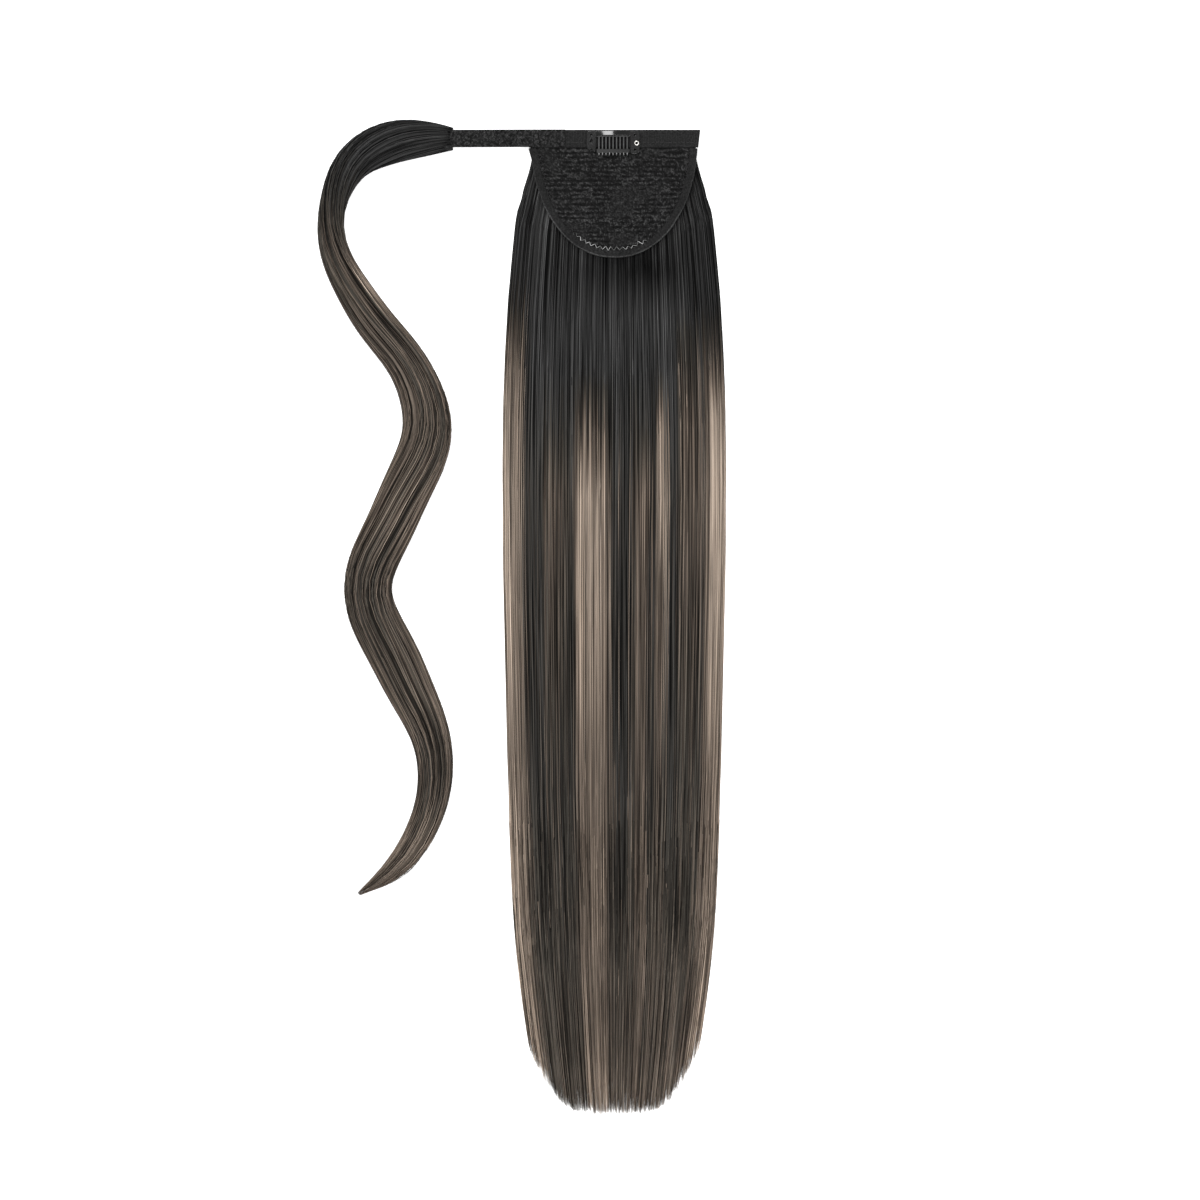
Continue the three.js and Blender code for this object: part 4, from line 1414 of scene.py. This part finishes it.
def hole(x, down, radius, point=0.0):
    """A round hole; point draws its upper side out into a drop."""
    angle = np.linspace(0, FULL_TURN, HOLE_SIDES, endpoint=False)
    drop = point * np.clip(-np.sin(angle), 0, 1) ** 5
    return np.stack([x + radius * np.cos(angle), down + radius * np.sin(angle) - drop], axis=-1)


def crease_rims(piece, high):
    """Shades a plate's flat faces apart from its rounded edges; high is each point's own height."""
    level = np.abs(high) > CLIP_SHEET / 2 - LEVEL_SLACK
    body = bmesh.new()
    body.from_mesh(piece.data)
    for edge in body.edges:
        flat = [all(level[vertex.index] for vertex in face.verts) for face in edge.link_faces]
        bent = all(flat) and edge.calc_face_angle(0) > CREASE
        edge.smooth = len(set(flat)) == 1 and not bent
    body.to_mesh(piece.data)
    body.free()


def plate(outlines):
    """Points and triangles of a piece of sheet; the first outline is its rim, the others are holes."""
    curve = bpy.data.curves.new("plate", "CURVE")
    curve.dimensions = "2D"
    curve.fill_mode = "BOTH"
    curve.extrude = CLIP_SHEET / 2 - CLIP_EDGE
    curve.bevel_depth = CLIP_EDGE
    curve.bevel_resolution = 2
    curve.offset = -CLIP_EDGE
    for outline in outlines:
        spline = curve.splines.new("POLY")
        spline.points.add(len(outline) - 1)
        level = np.tile([0.0, 1.0], (len(outline), 1))
        spline.points.foreach_set("co", np.concatenate([outline, level], axis=1).ravel())
        spline.use_cyclic_u = True
    holder = bpy.data.objects.new("plate", curve)
    mesh = bpy.data.meshes.new_from_object(holder)
    body = bmesh.new()
    body.from_mesh(mesh)
    bmesh.ops.remove_doubles(body, verts=body.verts, dist=0.002)
    for x in np.arange(-LOBE_INNER, LOBE_INNER + OUTLINE_STEP, OUTLINE_STEP):
        parts = body.verts[:] + body.edges[:] + body.faces[:]
        bmesh.ops.bisect_plane(body, geom=parts, plane_co=(x, 0, 0), plane_no=(1, 0, 0))
    bmesh.ops.triangulate(body, faces=body.faces)
    body.verts.index_update()
    points = np.array([vertex.co for vertex in body.verts])
    triangles = np.array([[vertex.index for vertex in face.verts] for face in body.faces])
    body.free()
    bpy.data.objects.remove(holder)
    bpy.data.curves.remove(curve)
    bpy.data.meshes.remove(mesh)
    return points, triangles


# Corners of the bar and its two lobes: x, down, and how far each is cut back
FRAME_CORNERS = [
    (-CLIP_HALF, 0, 2.4),
    (CLIP_HALF, 0, 2.4),
    (CLIP_HALF, 13.4, 2.8),
    (LOBE_INNER, 13.4, 1.4),
    (LOBE_INNER, BAR_WIDTH, 0.8),
    (-LOBE_INNER, BAR_WIDTH, 0.8),
    (-LOBE_INNER, 12.4, 1.2),
    (-CLIP_HALF, 10.8, 2.4),
]


def clip_frame(material):
    """The bowed bar and the two end lobes, with their sewing holes."""
    outlines = [rounded_outline(FRAME_CORNERS)]
    for side in (-1, 1):
        for down in SEWING_HOLES_DOWN:
            outlines.append(hole(side * LOBE_MIDDLE, down, SEWING_HOLE))
    outlines.append(hole(-LOBE_MIDDLE, **DROP_HOLE))
    outlines.append(hole(EYELET_X, EYELET_DOWN, EYELET_HOLE))
    points, triangles = plate(outlines)
    x, down, high = points.T
    bow = BAR_BOW * np.clip(1 - (x / LOBE_INNER) ** 2, 0, 1)
    placed = on_clip(x, down, high + CLIP_SHEET / 2 + bow + lobe_height(x, down))
    triangles = outward(placed, triangles)
    piece = mesh_piece("clip_spring", placed, triangles, material, "hairpiece")
    crease_rims(piece, high)
    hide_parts("clip_frame")


def lobe_height(x, down):
    """The lobes slope down away from the bar, whose middle lies level."""
    return LOBE_LIFT - LOBE_SLOPE * (down - BAR_WIDTH) * np.clip(np.abs(x) / LOBE_INNER, 0, 1) ** 4


# Toothed leg of the clip, which turns about a line under the bar
COMB_LIFT = math.radians(6.5)
COMB_DEPTH = 10.5
COMB_RAIL = 0.7
COMB_FOOT = 2.4
COMB_TEETH = 9
COMB_PITCH = 2.05
COMB_RIB = 0.8
COMB_SLOT_CUT = 0.4
COMB_BOW = 0.4
COMB_RIB_PAINTED_SHEEN = 0.95  # how pale its ribs are painted, as painted sheen, and how much less its foot is
COMB_FOOT_LESS = 0.5
COMB_ARM_DIP = 0.35  # the rail's two ends bend down, so they clear the bar when the comb is open
COMB_ARMS = (7.4, 8.9)  # distance from the middle that they begin at and are whole at
COMB_ARMS_BEND = (0.9, 2.4)  # and distance down that the bend runs out over
TOOTH_RADIUS = 0.36
TOOTH_BEND = 0.9
TOOTH_RETURN = 2.6
TOOTH_SIDES = 8
TOOTH_ARC_STEPS = 9


def on_comb(x, down, high):
    lying, standing = tilted(COMB_LIFT, down, high)
    bow = COMB_BOW * (1 - (x / COMB_HALF) ** 2)
    return on_clip(x, COMB_HINGE + lying, standing + bow)


def comb_teeth_places():
    return (np.arange(COMB_TEETH) - (COMB_TEETH - 1) / 2) * COMB_PITCH


def comb_leg(material):
    """The slotted plate of the comb, without its teeth."""
    outer = comb_teeth_places()[-1] + COMB_RIB / 2
    foot = COMB_DEPTH - COMB_FOOT
    right = [(COMB_HALF, 0, 0.3), (COMB_HALF, COMB_RAIL, 0.25), (outer, COMB_RAIL, 0.2)]
    right += [(outer, foot, 0.4), (COMB_HALF, foot, 0.3), (COMB_HALF, COMB_DEPTH, 0.9)]
    left = [(-x, down, cut) for x, down, cut in reversed(right)]
    outlines = [rounded_outline(right + left)]
    for rib in comb_teeth_places()[:-1]:
        x0, x1 = rib + COMB_RIB / 2, rib + COMB_PITCH - COMB_RIB / 2
        slot = ((x0, COMB_RAIL), (x1, COMB_RAIL), (x1, foot), (x0, foot))
        outlines.append(rounded_outline([(*corner, COMB_SLOT_CUT) for corner in slot]))
    points, triangles = plate(outlines)
    x, down, high = points.T
    dip = COMB_ARM_DIP * smooth_step(*COMB_ARMS, np.abs(x)) * fade_out(*COMB_ARMS_BEND, down)
    placed = on_comb(x, down, high + CLIP_SHEET / 2 - dip)
    # Painted sheen on the ribs
    values = {"relief": COMB_RIB_PAINTED_SHEEN - COMB_FOOT_LESS * smooth_step(foot - 0.6, foot + 0.2, down)}
    triangles = outward(placed, triangles)
    piece = mesh_piece("comb_leg", placed, triangles, material, "comb", values)
    crease_rims(piece, high)
    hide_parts("clip_comb")


def comb_teeth(material):
    """Nine round teeth that curl over the comb's foot and back under it."""
    arc = np.linspace(0, math.pi, TOOTH_ARC_STEPS)
    ahead = np.concatenate([[-0.6], TOOTH_BEND * np.sin(arc), [-TOOTH_RETURN / 2, -TOOTH_RETURN]])
    ahead = COMB_DEPTH + ahead
    level = CLIP_SHEET / 2 - TOOTH_BEND
    under = level - TOOTH_BEND
    height = np.concatenate([[CLIP_SHEET / 2], level + TOOTH_BEND * np.cos(arc), [under, under + 0.1]])
    thick = np.append(np.ones(len(arc) + 1), [0.85, 0.45]) * TOOTH_RADIUS
    heading = unit(np.stack([np.gradient(ahead), np.gradient(height)], axis=-1))
    angle = np.linspace(0, FULL_TURN, TOOTH_SIDES, endpoint=False)
    side = np.cos(angle)[None] * thick[:, None]
    over = np.sin(angle)[None] * thick[:, None]
    down = ahead[:, None] - heading[:, 1:] * over
    high = height[:, None] + heading[:, :1] * over
    one = loft_triangles(len(ahead), TOOTH_SIDES)
    points = np.stack([on_comb(x + side, down, high) for x in comb_teeth_places()])
    first = np.arange(COMB_TEETH) * len(ahead) * TOOTH_SIDES
    triangles = (first[:, None, None] + outward(points[0], one)[None]).reshape(-1, 3)
    mesh_piece("comb_teeth", points, triangles, material, "comb")


# Eyelet in the clip's right lobe: its section, out from its middle and up from the clip's seat
EYELET_SECTION = table(
    "out high",
    (0.78, 0.1),
    (0.78, 0.85),
    (0.84, 1.12),
    (0.98, 1.28),
    (1.18, 1.26),
    (1.38, 1.08),
    (1.46, 0.84),
    (1.38, 0.72),
    (1.05, 0.72),
    (1.05, 0.1),
)
EYELET_SIDES = 36


def clip_eyelet(material):
    angle = np.linspace(0, FULL_TURN, EYELET_SIDES, endpoint=False)[:, None]
    x = EYELET_X + EYELET_SECTION["out"] * np.cos(angle)
    down = EYELET_DOWN + EYELET_SECTION["out"] * np.sin(angle)
    ring = on_clip(x, down, EYELET_SECTION["high"] + lobe_height(x, down))
    triangles = outward(ring, ring_triangles(EYELET_SIDES, ring.shape[1], closed=True))
    piece = mesh_piece("clip_eyelet", ring, triangles, material, "hairpiece")
    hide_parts("clip_rivet")


def metal_material(name, colour, metallic, roughness, scratch):
    """Metal or enamel whose gloss is a little uneven, with faint rubbed streaks."""
    material, tree, shader = new_material(name)
    place = node(tree, "TexCoord").outputs["Object"]
    smears = noise(tree, place, 260.0, 5.0)
    rough = ranged(tree, smears, (0, 1), give_or_take(roughness, scratch))
    strength = ranged(tree, smears, SPECKS, give_or_take(1, 0.15))
    tinted = scaled(tree, colour[:3], strength)
    wire(shader, {"Base Color": tinted, "Roughness": rough, "Metallic": metallic})
    return material


enamel = metal_material("black_enamel", linear(18, 18, 18), 0.0, 0.14, 0.06)
# The comb's paler ribs are painted sheen
wear_and_sheen = cloth_material("comb_enamel_painted_sheen", (9, 33, 66), 700, 0.25, 0.42, 0.0)
# The teeth are pale steel all over, a painted highlight for their bright bends
steel = metal_material("tooth_steel_painted_highlight", linear(130, 130, 130), 0.7, 0.32, 0.08)
nickel = metal_material("bright_nickel", linear(235, 233, 228), 1.0, 0.38, 0.06)
clip_frame(enamel)
comb_leg(wear_and_sheen)
comb_teeth(steel)
clip_eyelet(nickel)


# Stage

LIGHTS_AIM = (0.03, 0, 0)
SKY_STRENGTH = 0.3


def area_light(name, place, size, power):
    light = bpy.data.lights.new(name, "AREA")
    light.shape = "DISK"
    light.size = size
    light.energy = power
    lamp = bpy.data.objects.new(name, light)
    lamp.location = place
    direction = Vector(LIGHTS_AIM) - Vector(place)
    lamp.rotation_euler = direction.to_track_quat("-Z", "Y").to_euler()
    bpy.context.scene.collection.objects.link(lamp)


FLOOR_REACH = 8.0
FLOOR_LEVEL = -0.0004
FLOOR_GLOW = 0.5  # the floor is lit from below a little, as a light table is, so shadows stay faint
FLOOR_LOOK = {
    "Base Color": (0.95, 0.95, 0.95, 1),
    "Roughness": 0.9,
    "Specular IOR Level": 0.1,
    "Emission Color": (1, 1, 1, 1),
    "Emission Strength": FLOOR_GLOW,
}


def pale_floor():
    material, _, shader = new_material("pale_floor")
    wire(shader, FLOOR_LOOK)
    mesh = bpy.data.meshes.new("floor")
    ends = ((-1, -1), (1, -1), (1, 1), (-1, 1))
    corners = [(x * FLOOR_REACH, y * FLOOR_REACH, FLOOR_LEVEL) for x, y in ends]
    mesh.from_pydata(corners, [], [(0, 1, 2, 3)])
    mesh.materials.append(material)
    floor = bpy.data.objects.new("floor", mesh)
    bpy.context.scene.collection.objects.link(floor)


def sky(strength):
    world = bpy.data.worlds.new("studio")
    bpy.context.scene.world = world
    world.use_nodes = True
    background = world.node_tree.nodes["Background"]
    wire(background, {"Color": (1, 1, 1, 1), "Strength": strength})


def photo_camera():
    camera = bpy.data.cameras.new("camera")
    middle_x = (PHOTO_SIZE / 2 - PHOTO_MIDDLE[0]) * PHOTO_SCALE * MM
    middle_y = (PHOTO_MIDDLE[1] - PHOTO_SIZE / 2) * PHOTO_SCALE * MM
    seen = PHOTO_SIZE * PHOTO_SCALE * MM
    camera.sensor_width = CAMERA_SENSOR
    camera.lens = CAMERA_SENSOR * (CAMERA_HEIGHT - HAIR_LEVEL) / seen
    camera.clip_start = CAMERA_NEAR
    holder = bpy.data.objects.new("camera", camera)
    holder.location = (middle_x, middle_y, CAMERA_HEIGHT)
    bpy.context.scene.collection.objects.link(holder)
    bpy.context.scene.camera = holder


photo_camera()
pale_floor()
sky(SKY_STRENGTH)
area_light("key", (-0.5, 2.0, 1.9), 1.3, 42)
area_light("top", (-0.45, 0.6, 2.43), 1.0, 36)
area_light("fill", (1.2, -0.7, 2.2), 1.4, 26)
area_light("front", (0.1, -2.0, 1.7), 0.8, 16)
bpy.context.scene.view_settings.view_transform = "Standard"
